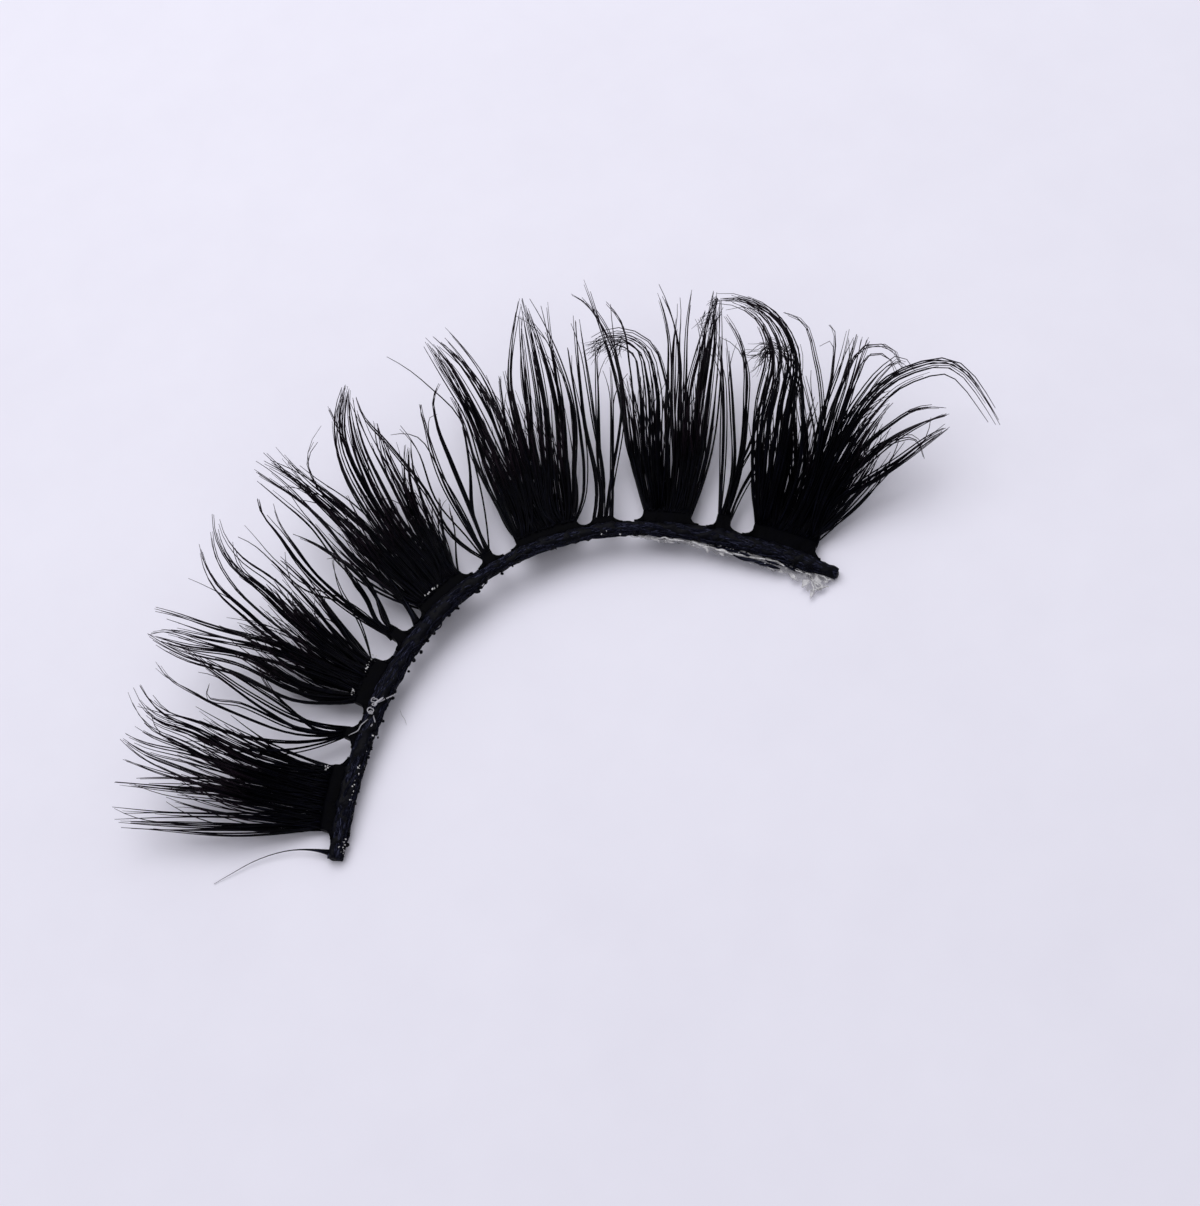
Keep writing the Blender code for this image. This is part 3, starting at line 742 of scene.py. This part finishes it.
def make_root_block(bundle, rng):
    """The block of glue that holds one bundle's roots to the band."""
    station, reach = block_outline(bundle)
    out = bearing(band_outward(station))
    edge = section_value(BAND_SECTIONS, "outer", station)
    near = edge - BLOCK_BITE
    far = edge + reach + rng.normal(0.0, 0.012, station.shape)
    centre = band_point(station) + out * ((near + far) / 2.0)[:, None]
    share = np.clip(reach / reach.max(), 0.0, 1.0)
    half_high = BLOCK_HALF_AT_BAND + share * (BLOCK_HALF_AT_HAIRS - BLOCK_HALF_AT_BAND)
    radii = np.stack([(far - near) / 2.0, half_high], axis=-1)
    up = np.broadcast_to((0.0, 0.0, 1.0), out.shape)
    block = bent_tubes(bundle.name + "_root", centre[None], radii[None], BLOCK_SIDES, rng,
                       frames=(out[None], up[None]), boxy=0.45)
    for vert in block.data.vertices:
        vert.co += noise.noise_vector(vert.co / MM * 2.3) * BLOCK_ROUGH * MM
    return block


root_glue_material = cloudy_material(
    "black_root_glue", 1500.0, (0.0003, 0.0003, 0.0006, 1.0), (0.0012, 0.0012, 0.0026, 1.0),
    0.22, 0.45, 0.015, 0.012)

for number, bundle in enumerate(BUNDLES):
    block = make_root_block(bundle, np.random.default_rng(60 + number))
    block.data.materials.append(root_glue_material)
    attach(block, "root")
    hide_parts(bundle.name)

# The hairs: fine black synthetic fibres, set side by side in the glue in a few layers and
# drawn out to a hair's breadth at the tip. Those of a lock gather into strands, some end
# early, some cross to another strand, and a few have a hooked tip.
FIBRE_SIDES = 3
FIBRE_POINTS = 18
ROOT_RADIUS = 0.049
TIP_RADIUS = 0.014
TAPER_POWER = 2.8
THINNEST = 0.72
THICKEST = 1.12
BELLY_RISE = 0.6
ROOT_SINK = 0.22
LAYER_DEPTH = 0.30
LAYER_FAN = 0.5
STRAND_FIBRES = 4
STRAND_UNEVEN = 0.4
STRAND_HOLD_IN_BODY = 0.75
STRAND_HOLD_AT_TIP = 0.85
STRAND_SWAY = 0.08
STRAND_RISE = 0.16
STRAND_CUT = 0.07
BODY_WIDTH = 0.155
BODY_WIDTH_POWER = 0.7
BODY_LOOSE = 0.04
TIP_LOOSE = 0.05
BODY_SKEW = 0.95
CROSSING_SHARE = 0.18
OWN_SWAY = 0.05
OWN_WAVES = 1.1
HOOKED_SHARE = 0.12
HOOK_SIZE = 0.45
HOOK_DROP = 0.5
HOOK_FROM = 0.74
SHORTEST_CUT = 0.32
CUT_POWER = 2.2
FEW_FIBRES = 8
FEW_FIBRES_CUT = 0.06
UNDER_PULL = 0.36
UNDER_SLOPE = 0.36
UNDER_SHORTEST = 0.55
UNDER_UNEVEN = 3.0
UNDER_BEND = 8.0
FLOOR_CLEARANCE = 0.05


def pixel_of(place):
    """The photograph's pixel at which a place in the strip's millimetres is seen."""
    seen = (place - np.array(CAMERA_PLACE)) @ CAMERA_AXES
    return PHOTO_MIDDLE + seen[..., :2] / -seen[..., 2:] * CAMERA_LENS / PIXEL_SIZE * (1.0, -1.0)


def seen_at(pixels, height):
    """Places at given heights, in the strip's millimetres, that are seen at given pixels."""
    offset = (pixels - PHOTO_MIDDLE) * (PIXEL_SIZE, -PIXEL_SIZE)
    ray = np.concatenate([offset, np.full(offset.shape[:-1] + (1,), -CAMERA_LENS)], axis=-1)
    ray = ray @ CAMERA_AXES.T
    return np.array(CAMERA_PLACE) + ray * ((height - CAMERA_PLACE.z) / ray[..., 2])[..., None]


def through(stops, share):
    """Points of a smooth curve through a few stops, at shares of its length."""
    steps = np.linalg.norm(np.diff(stops, axis=0), axis=1)
    knots = np.concatenate([[0.0], np.cumsum(steps)]) / steps.sum()
    slopes = np.gradient(stops, knots, axis=0, edge_order=2)
    low = np.clip(np.searchsorted(knots, share, side="right") - 1, 0, len(stops) - 2)
    gap = (knots[low + 1] - knots[low])[:, None]
    on = (share - knots[low])[:, None] / gap
    off = 1.0 - on
    return ((1.0 + 2.0 * on) * off ** 2 * stops[low] + on * off ** 2 * gap * slopes[low]
            + (1.0 + 2.0 * off) * on ** 2 * stops[low + 1]
            - off * on ** 2 * gap * slopes[low + 1])


def route_line(root, route, belly, tip, share):
    """Points at shares of a route that starts at a root and rises to its tip's height."""
    stops = np.concatenate([[pixel_of(root)], np.array(route, dtype=float)])
    rest = 1.0 - share
    height = rest ** 2 * root[2] + 2.0 * rest * share * belly + share ** 2 * tip
    return seen_at(through(stops, share), height)


def swept(root, early, late, tip, share):
    """Points along curves that are given by their two ends and two pulls."""
    rest = 1.0 - share
    weights = np.stack([rest ** 3, 3.0 * rest ** 2 * share, 3.0 * rest * share ** 2, share ** 3])
    return np.einsum("kfp,kfc->fpc", weights, np.stack([root, early, late, tip]))


def ruffled(curve, across, rng):
    """Fibres with a faint sway of their own, and some with a hook at the tip."""
    count = len(curve)
    own = np.linspace(0.0, 1.0, FIBRE_POINTS)[None, :]
    phase = rng.uniform(0.0, 2.0 * math.pi, count)[:, None]
    wave = np.sin(2.0 * math.pi * OWN_WAVES * own + phase)
    sway = rng.normal(0.0, OWN_SWAY, count)[:, None] * wave * own
    hooked = rng.uniform(0.0, 1.0, count) < HOOKED_SHARE
    hook = np.where(hooked, rng.normal(0.0, HOOK_SIZE, count), 0.0)[:, None]
    bend = np.clip((own - HOOK_FROM) / (1.0 - HOOK_FROM), 0.0, 1.0) ** 2
    curve = curve + across[:, None] * (sway + hook * bend)[:, :, None]
    curve[:, :, 2] -= np.abs(hook) * bend * HOOK_DROP
    curve[:, :, 2] = np.maximum(curve[:, :, 2], FLOOR_CLEARANCE)
    return curve


def lock_fibres(bundle, lock, first, last, rng):
    """Centre lines of the fibres of a lock that stands between two stations of its block."""
    count = lock.count
    slot = (np.arange(count) + rng.uniform(0.1, 0.9, count)) / count - 0.5
    layer = rng.uniform(-0.5, 0.5, count)
    strands = max(1, round(count / STRAND_FIBRES))
    strand = np.minimum((slot + 0.5) * strands, strands - 1.0).astype(int)
    crossing = rng.uniform(0.0, 1.0, count) < CROSSING_SHARE
    strand = np.where(crossing, rng.integers(0, strands, count), strand)
    strand_slot = (np.arange(strands) + 0.5) / strands - 0.5
    strand_slot = (strand_slot + rng.normal(0.0, STRAND_UNEVEN / strands, strands))[strand]
    strand_cut = (STRAND_CUT * rng.uniform(0.0, 1.0, strands) ** 2)[strand]
    strand_sway = rng.normal(0.0, STRAND_SWAY, strands)[strand]
    strand_rise = rng.normal(0.0, STRAND_RISE, strands)[strand]

    deep = SHORTEST_CUT if count > FEW_FIBRES else FEW_FIBRES_CUT
    cut = 1.0 - strand_cut - deep * rng.uniform(0.0, 1.0, count) ** CUT_POWER
    share = np.linspace(0.0, 1.0, FIBRE_POINTS)[None, :] * cut[:, None]
    middle = beside_band(np.array((first + last) / 2.0), bundle.out, 0.0)
    belly = bundle.dip + BELLY_RISE if lock.belly is None else lock.belly
    line = route_line(middle, lock.route, belly, lock.tip, share.reshape(-1))
    line = line.reshape(count, FIBRE_POINTS, 3)
    across = unit(np.cross(np.gradient(line, axis=1), (0.0, 0.0, 1.0)))

    station = (first + last) / 2.0 + slot * (last - first)
    root = beside_band(station, np.full(count, bundle.out), layer * LAYER_DEPTH)
    spread = slot + (strand_slot - slot) * STRAND_HOLD_AT_TIP
    spread = (spread + rng.normal(0.0, TIP_LOOSE, count)) * lock.spread
    body = slot + (strand_slot - slot) * STRAND_HOLD_IN_BODY
    body = body * BODY_WIDTH * count ** BODY_WIDTH_POWER
    body = body + strand_sway + rng.normal(0.0, BODY_LOOSE, count)
    aside = body[:, None] * np.sin(math.pi * share ** BODY_SKEW) + spread[:, None] * share ** 2
    kept = (1.0 - share) ** 2
    curve = line + (root - middle)[:, None] * kept[:, :, None] + across * aside[:, :, None]
    curve[:, :, 2] += layer[:, None] * LAYER_FAN * share + strand_rise[:, None] * share ** 2
    curve[:, 0] -= unit(curve[:, 1] - curve[:, 0]) * ROOT_SINK
    return ruffled(curve, across[:, -1], rng)


def bundle_fibres(bundle, rng):
    """All of a bundle's fibres: its locks side by side, over its undercoat if it has one."""
    ends = np.cumsum([0] + [lock.count for lock in bundle.locks])
    ends = bundle.first + ends / ends[-1] * (bundle.last - bundle.first)
    lines = [lock_fibres(bundle, lock, first, last, rng)
             for lock, first, last in zip(bundle.locks, ends, ends[1:])]
    if bundle.under:
        lines.append(undercoat(bundle, rng))
    return np.concatenate(lines)


def undercoat(bundle, rng):
    """The short dense fibres of a cluster, fanned from one side of its block to the other."""
    count = bundle.under
    place = rng.uniform(0.02, 0.98, count)
    layer = rng.uniform(-0.5, 0.5, count)
    station = bundle.first + place * (bundle.last - bundle.first)
    lean = np.radians(bundle.left + place * (bundle.right - bundle.left))
    lean = band_outward(station) + lean + np.radians(rng.normal(0.0, UNDER_UNEVEN, count))
    bend = np.radians(rng.normal(0.0, UNDER_BEND, count))
    reach = bundle.short * rng.uniform(UNDER_SHORTEST, 1.0, count)
    root = beside_band(station, np.full(count, bundle.out), layer * LAYER_DEPTH)
    tip = root + bearing(lean) * reach[:, None]
    tip[:, 2] = 1.0 + reach * UNDER_SLOPE + layer
    early = root + bearing(lean + bend) * reach[:, None] * UNDER_PULL
    early[:, 2] = bundle.dip + layer * 0.6
    late = tip - bearing(lean - bend) * reach[:, None] * UNDER_PULL * 0.7
    late[:, 2] = max(bundle.dip, 0.2) + layer * 0.6 + 0.4
    share = np.broadcast_to(np.linspace(0.0, 1.0, FIBRE_POINTS), (count, FIBRE_POINTS))
    curve = swept(root, early, late, tip, share)
    curve[:, 0] -= unit(early - root) * ROOT_SINK
    return ruffled(curve, bearing(lean + math.pi / 2.0), rng)


def fibre_radii(count, rng, root_radius=ROOT_RADIUS, tip_radius=TIP_RADIUS):
    """Half width and half height of each fibre, full for most of its length."""
    own = np.linspace(0.0, 1.0, FIBRE_POINTS)
    size = tip_radius + (root_radius - tip_radius) * (1.0 - own ** TAPER_POWER)
    size = size[None, :] * rng.uniform(THINNEST, THICKEST, count)[:, None]
    return np.stack([size, size], axis=-1)


def make_hair_material():
    """Black fibre with pale streaks of painted sheen along it, and a warm dark brown of painted
    light that shines through where it thins out.
    """
    material = cloudy_material(
        "black_fibre", 1.6, (0.0003, 0.0003, 0.0009, 1.0), (0.0014, 0.0013, 0.0034, 1.0),
        0.30, 0.50, 0.002, 0.03, attribute="grain")
    # The pale streaks are painted sheen: lines of light along the fibres.
    add_streaks(material, 2.4, 0.60, (0.010, 0.011, 0.026, 1.0), attribute="grain")
    tree = material.node_tree
    base = tree.nodes["Principled BSDF"].inputs["Base Color"]
    along = tree.nodes.new("ShaderNodeAttribute")
    along.attribute_name = "along"
    # Towards the tip a warm brown is mixed in: painted light that shines through the thin fibre.
    thin = add_node(tree, "ShaderNodeMapRange", From_Min=0.66, From_Max=1.0)
    tip_light_tint = tree.nodes.new("ShaderNodeMix")
    tip_light_tint.data_type = "RGBA"
    tip_light_tint.inputs[7].default_value = (0.020, 0.013, 0.020, 1.0)
    tree.links.new(along.outputs["Fac"], thin.inputs["Value"])
    tree.links.new(thin.outputs["Result"], tip_light_tint.inputs["Factor"])
    tree.links.new(base.links[0].from_socket, tip_light_tint.inputs[6])
    tree.links.new(tip_light_tint.outputs[2], base)
    return material


hair_material = make_hair_material()

for number, bundle in enumerate(BUNDLES):
    hair_rng = np.random.default_rng(100 + number)
    hair_lines = bundle_fibres(bundle, hair_rng)
    hair_radii = fibre_radii(len(hair_lines), hair_rng)
    hairs = bent_tubes(bundle.name + "_hair", hair_lines, hair_radii, FIBRE_SIDES, hair_rng)
    hairs.data.materials.append(hair_material)
    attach(hairs, "root")
    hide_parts(bundle.name)

# The frizz: at the ends of the locks that bend over, the finest fibre ends are rubbed into
# small tangled tufts. A tuft's pixel is where the photograph shows it, and turn is the
# way that its fibres point, from +X.
Tuft = namedtuple("Tuft", "pixel height turn size count")
TUFTS = [
    Tuft((602, 343), 5.1, 190, 0.8, 28),
    Tuft((620, 341), 5.2, 200, 0.7, 18),
    Tuft((712, 314), 5.7, 215, 0.7, 22),
    Tuft((717, 300), 5.9, 195, 0.4, 12),
    Tuft((768, 348), 5.0, 190, 0.9, 32),
    Tuft((784, 350), 5.2, 340, 0.5, 14),
]
TUFT_ROOT = 0.018
TUFT_TIP = 0.007
TUFT_FAN = 24.0
TUFT_CRINKLE = 0.40


def tuft_fibres(tuft, rng):
    """Short crinkled fibres that spring from one small place in many directions."""
    count = tuft.count
    centre = seen_at(np.array(tuft.pixel, dtype=float), tuft.height)
    root = centre + rng.normal(0.0, 0.22 * tuft.size, (count, 3)) * (1.0, 1.0, 0.5)
    turn = np.radians(tuft.turn + rng.normal(0.0, TUFT_FAN, count))
    reach = tuft.size * rng.uniform(0.5, 1.7, count)[:, None]
    tip = root + bearing(turn) * reach
    tip[:, 2] += rng.normal(-0.15, 0.3, count)
    early = root + bearing(turn + rng.normal(0.0, TUFT_CRINKLE, count)) * reach * 0.5
    late = tip - bearing(turn + rng.normal(0.0, TUFT_CRINKLE, count)) * reach * 0.5
    share = np.broadcast_to(np.linspace(0.0, 1.0, FIBRE_POINTS), (count, FIBRE_POINTS))
    return swept(root, early, late, tip, share)


tuft_rng = np.random.default_rng(13)
tuft_lines = np.concatenate([tuft_fibres(tuft, tuft_rng) for tuft in TUFTS])
tuft_radii = fibre_radii(len(tuft_lines), tuft_rng, TUFT_ROOT, TUFT_TIP)
frizz = bent_tubes("tip_frizz", tuft_lines, tuft_radii, FIBRE_SIDES, tuft_rng)
frizz.data.materials.append(hair_material)
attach(frizz, "root")

# The strays: single hairs that the glue caught by themselves, one that lies on the paper
# beyond the left end and a few from a small foot between two bundles. Each has the station
# of its root, how far out that is, and a route in the photograph's pixels, as a lock has.
Stray = namedtuple("Stray", "station out thick foot belly tip route")
STRAYS = [
    Stray(0.30, 0.30, 0.022, 0.13, 0.3, 0.05, [(294, 850), (257, 860), (231, 874), (214, 884)]),
    Stray(11.75, 0.30, 0.036, 0.22, 1.0, 3.0, [(396, 596), (360, 572), (332, 553)]),
    Stray(11.75, 0.30, 0.034, 0.20, 1.0, 4.0, [(390, 580), (340, 535), (300, 500)]),
    Stray(11.80, 0.30, 0.036, 0.20, 1.0, 2.0, [(399, 598), (384, 585), (372, 575)]),
]
FOOT_POWER = 9.0
STRAY_SIDES = 7
STRAY_STEPS_POWER = 1.6

stray_rng = np.random.default_rng(14)
stray_own = np.linspace(0.0, 1.0, FIBRE_POINTS) ** STRAY_STEPS_POWER
stray_lines = np.stack([
    route_line(beside_band(np.array(row.station), row.out, 0.0), row.route, row.belly, row.tip,
               stray_own)
    for row in STRAYS])
stray_size = np.array([
    row.thick * (1.0 - 0.6 * stray_own ** 3) + row.foot * (1.0 - stray_own) ** FOOT_POWER
    for row in STRAYS])
strays = bent_tubes("stray_hairs", stray_lines, np.stack([stray_size, stray_size], axis=-1),
                    STRAY_SIDES, stray_rng)
strays.data.materials.append(hair_material)
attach(strays, "root")

# The old lid glue: a thin film peeled off the lid with the strip, which hangs from the
# right half's inner edge and ends in a crumpled flap under the tail. It is clear where it
# is thin, and whitish where it is folded.
FilmSection = namedtuple("FilmSection", "station width drop")
FILM_SECTIONS = [
    FilmSection(23.2, 0.10, 0.02),
    FilmSection(24.6, 0.22, 0.06),
    FilmSection(26.2, 0.20, 0.04),
    FilmSection(27.8, 0.40, 0.10),
    FilmSection(29.0, 0.36, 0.08),
    FilmSection(30.2, 0.50, 0.14),
    FilmSection(31.2, 0.44, 0.10),
    FilmSection(32.1, 0.70, 0.06),
    FilmSection(32.6, 1.20, 0.04),
    FilmSection(32.9, 0.95, 0.04),
    FilmSection(33.2, 0.40, 0.02),
]
FILM_STEPS = 190
FILM_ROWS = 9
FILM_THICK = 0.03
FILM_CRUMPLE = 0.085
FILM_RAGGED = 0.48
FILM_BITE = 0.10


def make_film():
    """A grid laid along the band's inner edge, crumpled and given a thickness."""
    film = bmesh.new()
    bmesh.ops.create_grid(film, x_segments=FILM_STEPS, y_segments=FILM_ROWS, size=0.5)
    first, last = FILM_SECTIONS[0].station, FILM_SECTIONS[-1].station
    for vert in film.verts:
        station = first + (vert.co.x + 0.5) * (last - first)
        share = vert.co.y + 0.5
        inner = float(section_value(BAND_SECTIONS, "inner", station))
        width = float(section_value(FILM_SECTIONS, "width", station))
        drop = float(section_value(FILM_SECTIONS, "drop", station))
        width *= 1.0 + FILM_RAGGED * noise.noise(Vector((station * 5.0, 2.0, 0.0)))
        place = Vector(beside_band(
            np.array(station), FILM_BITE - inner - share * (width + FILM_BITE),
            -0.08 - share * drop))
        crumple = noise.noise_vector(Vector((station * 3.6, share * 3.0, 7.0)))
        place += crumple * FILM_CRUMPLE * (0.3 + share)
        place.z = max(place.z, 0.02)
        vert.co = strip_origin + place * MM
    made = bmesh.ops.extrude_face_region(film, geom=film.faces[:], use_keep_orig=True)
    upper = [part for part in made["geom"] if isinstance(part, bmesh.types.BMVert)]
    bmesh.ops.translate(film, verts=upper, vec=(0.0, 0.0, FILM_THICK * MM))
    bmesh.ops.recalc_face_normals(film, faces=film.faces)
    mesh = bpy.data.meshes.new("glue_sheet")
    film.to_mesh(mesh)
    film.free()
    mesh.shade_smooth()
    thing = bpy.data.objects.new("glue_sheet", mesh)
    bpy.context.scene.collection.objects.link(thing)
    return thing


def make_film_material():
    """Clear glue, whitish in its folds: the streaks' mask makes it less see-through."""
    material = cloudy_material(
        "dried_lid_glue", 900.0, (0.20, 0.195, 0.21, 1.0), (0.50, 0.49, 0.52, 1.0),
        0.14, 0.42, 0.05, 0.5)
    streaks = add_streaks(material, 2400.0, 0.53, (0.62, 0.61, 0.64, 1.0))
    tree = material.node_tree
    cover = add_node(tree, "ShaderNodeMapRange", To_Min=0.20, To_Max=0.72)
    tree.links.new(streaks.outputs["Mask"], cover.inputs["Value"])
    tree.links.new(cover.outputs["Result"], tree.nodes["Principled BSDF"].inputs["Alpha"])
    return material


film_sheet = make_film()
film_sheet.data.materials.append(make_film_material())
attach(film_sheet, "root")
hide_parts("glue_film")

# The film's folds: narrow white ridges where it is creased over, running with the band,
# and a few dark strands of loose yarn that the glue has pulled down with it.
Fold = namedtuple("Fold", "first last near far thick")
FOLDS = [
    Fold(23.3, 25.0, 0.36, 0.50, 0.045),
    Fold(24.6, 26.4, 0.48, 0.56, 0.050),
    Fold(26.0, 27.4, 0.42, 0.66, 0.055),
    Fold(26.8, 28.4, 0.50, 0.78, 0.060),
    Fold(27.4, 28.2, 0.40, 0.48, 0.040),
    Fold(28.2, 30.4, 0.66, 0.60, 0.045),
    Fold(28.4, 30.0, 0.46, 0.44, 0.035),
    Fold(29.6, 31.4, 0.44, 0.58, 0.045),
    Fold(29.9, 30.5, 0.78, 0.92, 0.035),
    Fold(31.0, 32.2, 0.50, 0.62, 0.040),
    Fold(31.8, 32.9, 0.40, 0.95, 0.055),
    Fold(32.2, 33.0, 0.60, 1.20, 0.045),
    Fold(32.5, 33.3, 1.30, 0.70, 0.040),
    Fold(32.4, 32.8, 0.80, 1.45, 0.035),
    Fold(32.6, 33.4, 0.36, 0.42, 0.050),
]
DARK_FOLDS = [
    Fold(28.2, 30.8, 0.72, 0.88, 0.085),
    Fold(27.0, 29.4, 0.54, 0.56, 0.080),
    Fold(29.8, 32.0, 0.52, 0.62, 0.070),
]
FOLD_POINTS = 22
FOLD_SIDES = 6


def make_folds(name, rows, rng):
    """Wandering ridges along the band, each from its near to its far offset inwards."""
    share = np.linspace(0.0, 1.0, FOLD_POINTS)
    columns = np.array(rows)[:, :, None]
    station = columns[:, 0] + (columns[:, 1] - columns[:, 0]) * share
    offset = columns[:, 2] + (columns[:, 3] - columns[:, 2]) * share
    offset = offset + wander(rng, len(rows), 7, 0.035, FOLD_POINTS)
    lines = beside_band(station, -offset, wander(rng, len(rows), 6, 0.05, FOLD_POINTS))
    size = columns[:, 4] * (1.0 - 0.7 * np.abs(2.0 * share - 1.0) ** 3)
    size = size * (1.0 + wander(rng, len(rows), 9, 0.22, FOLD_POINTS))
    lines[:, :, 2] = np.maximum(lines[:, :, 2] - 0.04, size)
    radii = np.stack([size, size * 0.7], axis=-1)
    return bent_tubes(name, lines, radii, FOLD_SIDES, rng, twist=YARN_TWIST)


fold_rng = np.random.default_rng(15)
white_glue_material = cloudy_material(
    "white_dried_glue", 2600.0, (0.22, 0.215, 0.23, 1.0), (0.84, 0.83, 0.86, 1.0),
    0.18, 0.45, 0.03, 0.5)
film_folds = make_folds("glue_folds", FOLDS, fold_rng)
film_folds.data.materials.append(white_glue_material)
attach(film_folds, "root")
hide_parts("glue_film")
dark_folds = make_folds("loose_yarn", DARK_FOLDS, fold_rng)
dark_folds.data.materials.append(thread_material)
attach(dark_folds, "root")

# The crumbs: small white specks on the root blocks, and specks of dried white glue along
# the inner edge. A row spreads its crumbs along the band and across it, at a rise over the
# band's middle.
Crumbs = namedtuple("Crumbs", "first last out across rise count size")
CRUMB_ROWS = [
    Crumbs(3.9, 4.2, 1.20, 0.06, 0.22, 7, 0.045),
    Crumbs(7.4, 7.8, 1.24, 0.04, 0.20, 9, 0.040),
    Crumbs(8.6, 9.1, 1.14, 0.04, 0.20, 8, 0.035),
    Crumbs(9.2, 9.5, 1.10, 0.08, 0.20, 5, 0.040),
    Crumbs(12.9, 13.8, 0.95, 0.04, 0.20, 9, 0.035),
    Crumbs(1.8, 4.4, -0.32, 0.06, 0.22, 26, 0.035),
    Crumbs(0.2, 1.6, -0.34, 0.08, 0.18, 14, 0.045),
    Crumbs(5.0, 6.4, -0.40, 0.08, 0.18, 10, 0.040),
    Crumbs(8.0, 10.2, -0.38, 0.10, 0.16, 12, 0.035),
    Crumbs(18.5, 23.0, -0.26, 0.08, 0.18, 10, 0.030),
    Crumbs(23.6, 25.2, -0.48, 0.06, -0.05, 9, 0.030),
    Crumbs(26.8, 29.0, -0.62, 0.10, 0.02, 12, 0.028),
    Crumbs(29.0, 32.6, -0.55, 0.14, 0.04, 10, 0.030),
]
crumb_rng = np.random.default_rng(16)
crumb_places = np.concatenate([
    beside_band(crumb_rng.uniform(row.first, row.last, row.count),
                row.out + crumb_rng.normal(0.0, row.across, row.count),
                row.rise + crumb_rng.normal(0.0, 0.03, row.count))
    for row in CRUMB_ROWS])
crumb_sizes = np.concatenate([
    row.size * crumb_rng.uniform(0.5, 1.5, row.count) for row in CRUMB_ROWS])
crumbs = scattered_beads("glue_crumbs", crumb_places, crumb_sizes, crumb_rng)
crumbs.data.materials.append(white_glue_material)
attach(crumbs, "root")

# The lint: a small knot of white fibre stuck on the band near the second wisp, in two
# loops and a few loose ends. Its rows are places beside the band and over its middle.
LintEnd = namedtuple("LintEnd", "station out rise to_station to_out to_rise thick")
LINT_ENDS = [
    LintEnd(7.35, -0.20, 0.42, 8.30, -0.75, 0.10, 0.030),
    LintEnd(7.20, -0.05, 0.44, 7.75, -0.30, 0.40, 0.060),
    LintEnd(6.55, -0.05, 0.40, 5.60, 0.55, 0.30, 0.024),
    LintEnd(6.40, -0.22, 0.34, 5.70, -0.50, -0.10, 0.050),
    LintEnd(6.80, -0.30, 0.36, 6.10, -0.52, 0.00, 0.034),
    LintEnd(7.90, -0.90, -0.90, 7.30, -1.40, -1.00, 0.012),
]
LintLoop = namedtuple("LintLoop", "station out rise radius thick")
LINT_LOOPS = [
    LintLoop(7.45, 0.02, 0.44, 0.13, 0.028),
    LintLoop(7.30, -0.05, 0.48, 0.08, 0.026),
    LintLoop(6.98, -0.02, 0.42, 0.14, 0.028),
    LintLoop(6.84, -0.10, 0.46, 0.09, 0.026),
]
LINT_TURNS = 1.06
lint_rng = np.random.default_rng(17)
lint_own = np.linspace(0.0, 1.0, FIBRE_POINTS)
lint_columns = np.array(LINT_ENDS)[:, :, None]
lint_lines = beside_band(
    lint_columns[:, 0] + (lint_columns[:, 3] - lint_columns[:, 0]) * lint_own,
    lint_columns[:, 1] + (lint_columns[:, 4] - lint_columns[:, 1]) * lint_own
    + wander(lint_rng, len(LINT_ENDS), 4, 0.05, FIBRE_POINTS),
    lint_columns[:, 2] + (lint_columns[:, 5] - lint_columns[:, 2]) * lint_own)
lint_size = lint_columns[:, 6] * (1.0 - 0.6 * np.abs(2.0 * lint_own - 1.0) ** 3)
loop_columns = np.array(LINT_LOOPS)[:, :, None]
loop_turn = 2.0 * math.pi * LINT_TURNS * lint_own
loop_radius = loop_columns[:, 3] + wander(lint_rng, len(LINT_LOOPS), 5, 0.04, FIBRE_POINTS)
loop_lines = beside_band(
    loop_columns[:, 0] + loop_radius * np.cos(loop_turn),
    loop_columns[:, 1] + loop_radius * np.sin(loop_turn),
    loop_columns[:, 2] + wander(lint_rng, len(LINT_LOOPS), 5, 0.03, FIBRE_POINTS))
loop_size = np.broadcast_to(loop_columns[:, 4], (len(LINT_LOOPS), FIBRE_POINTS))
lint_lines = np.concatenate([lint_lines, loop_lines])
lint_lines[:, :, 2] = np.maximum(lint_lines[:, :, 2], FLOOR_CLEARANCE)
lint_size = np.concatenate([lint_size, loop_size])
lint = bent_tubes("lint_knot", lint_lines, np.stack([lint_size, lint_size], axis=-1),
                  FOLD_SIDES, lint_rng)
lint.data.materials.append(cloudy_material(
    "white_lint", 2.2, (0.16, 0.155, 0.19, 1.0), (0.62, 0.61, 0.66, 1.0),
    0.60, 0.90, 0.01, 0.3, attribute="grain"))
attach(lint, "root")
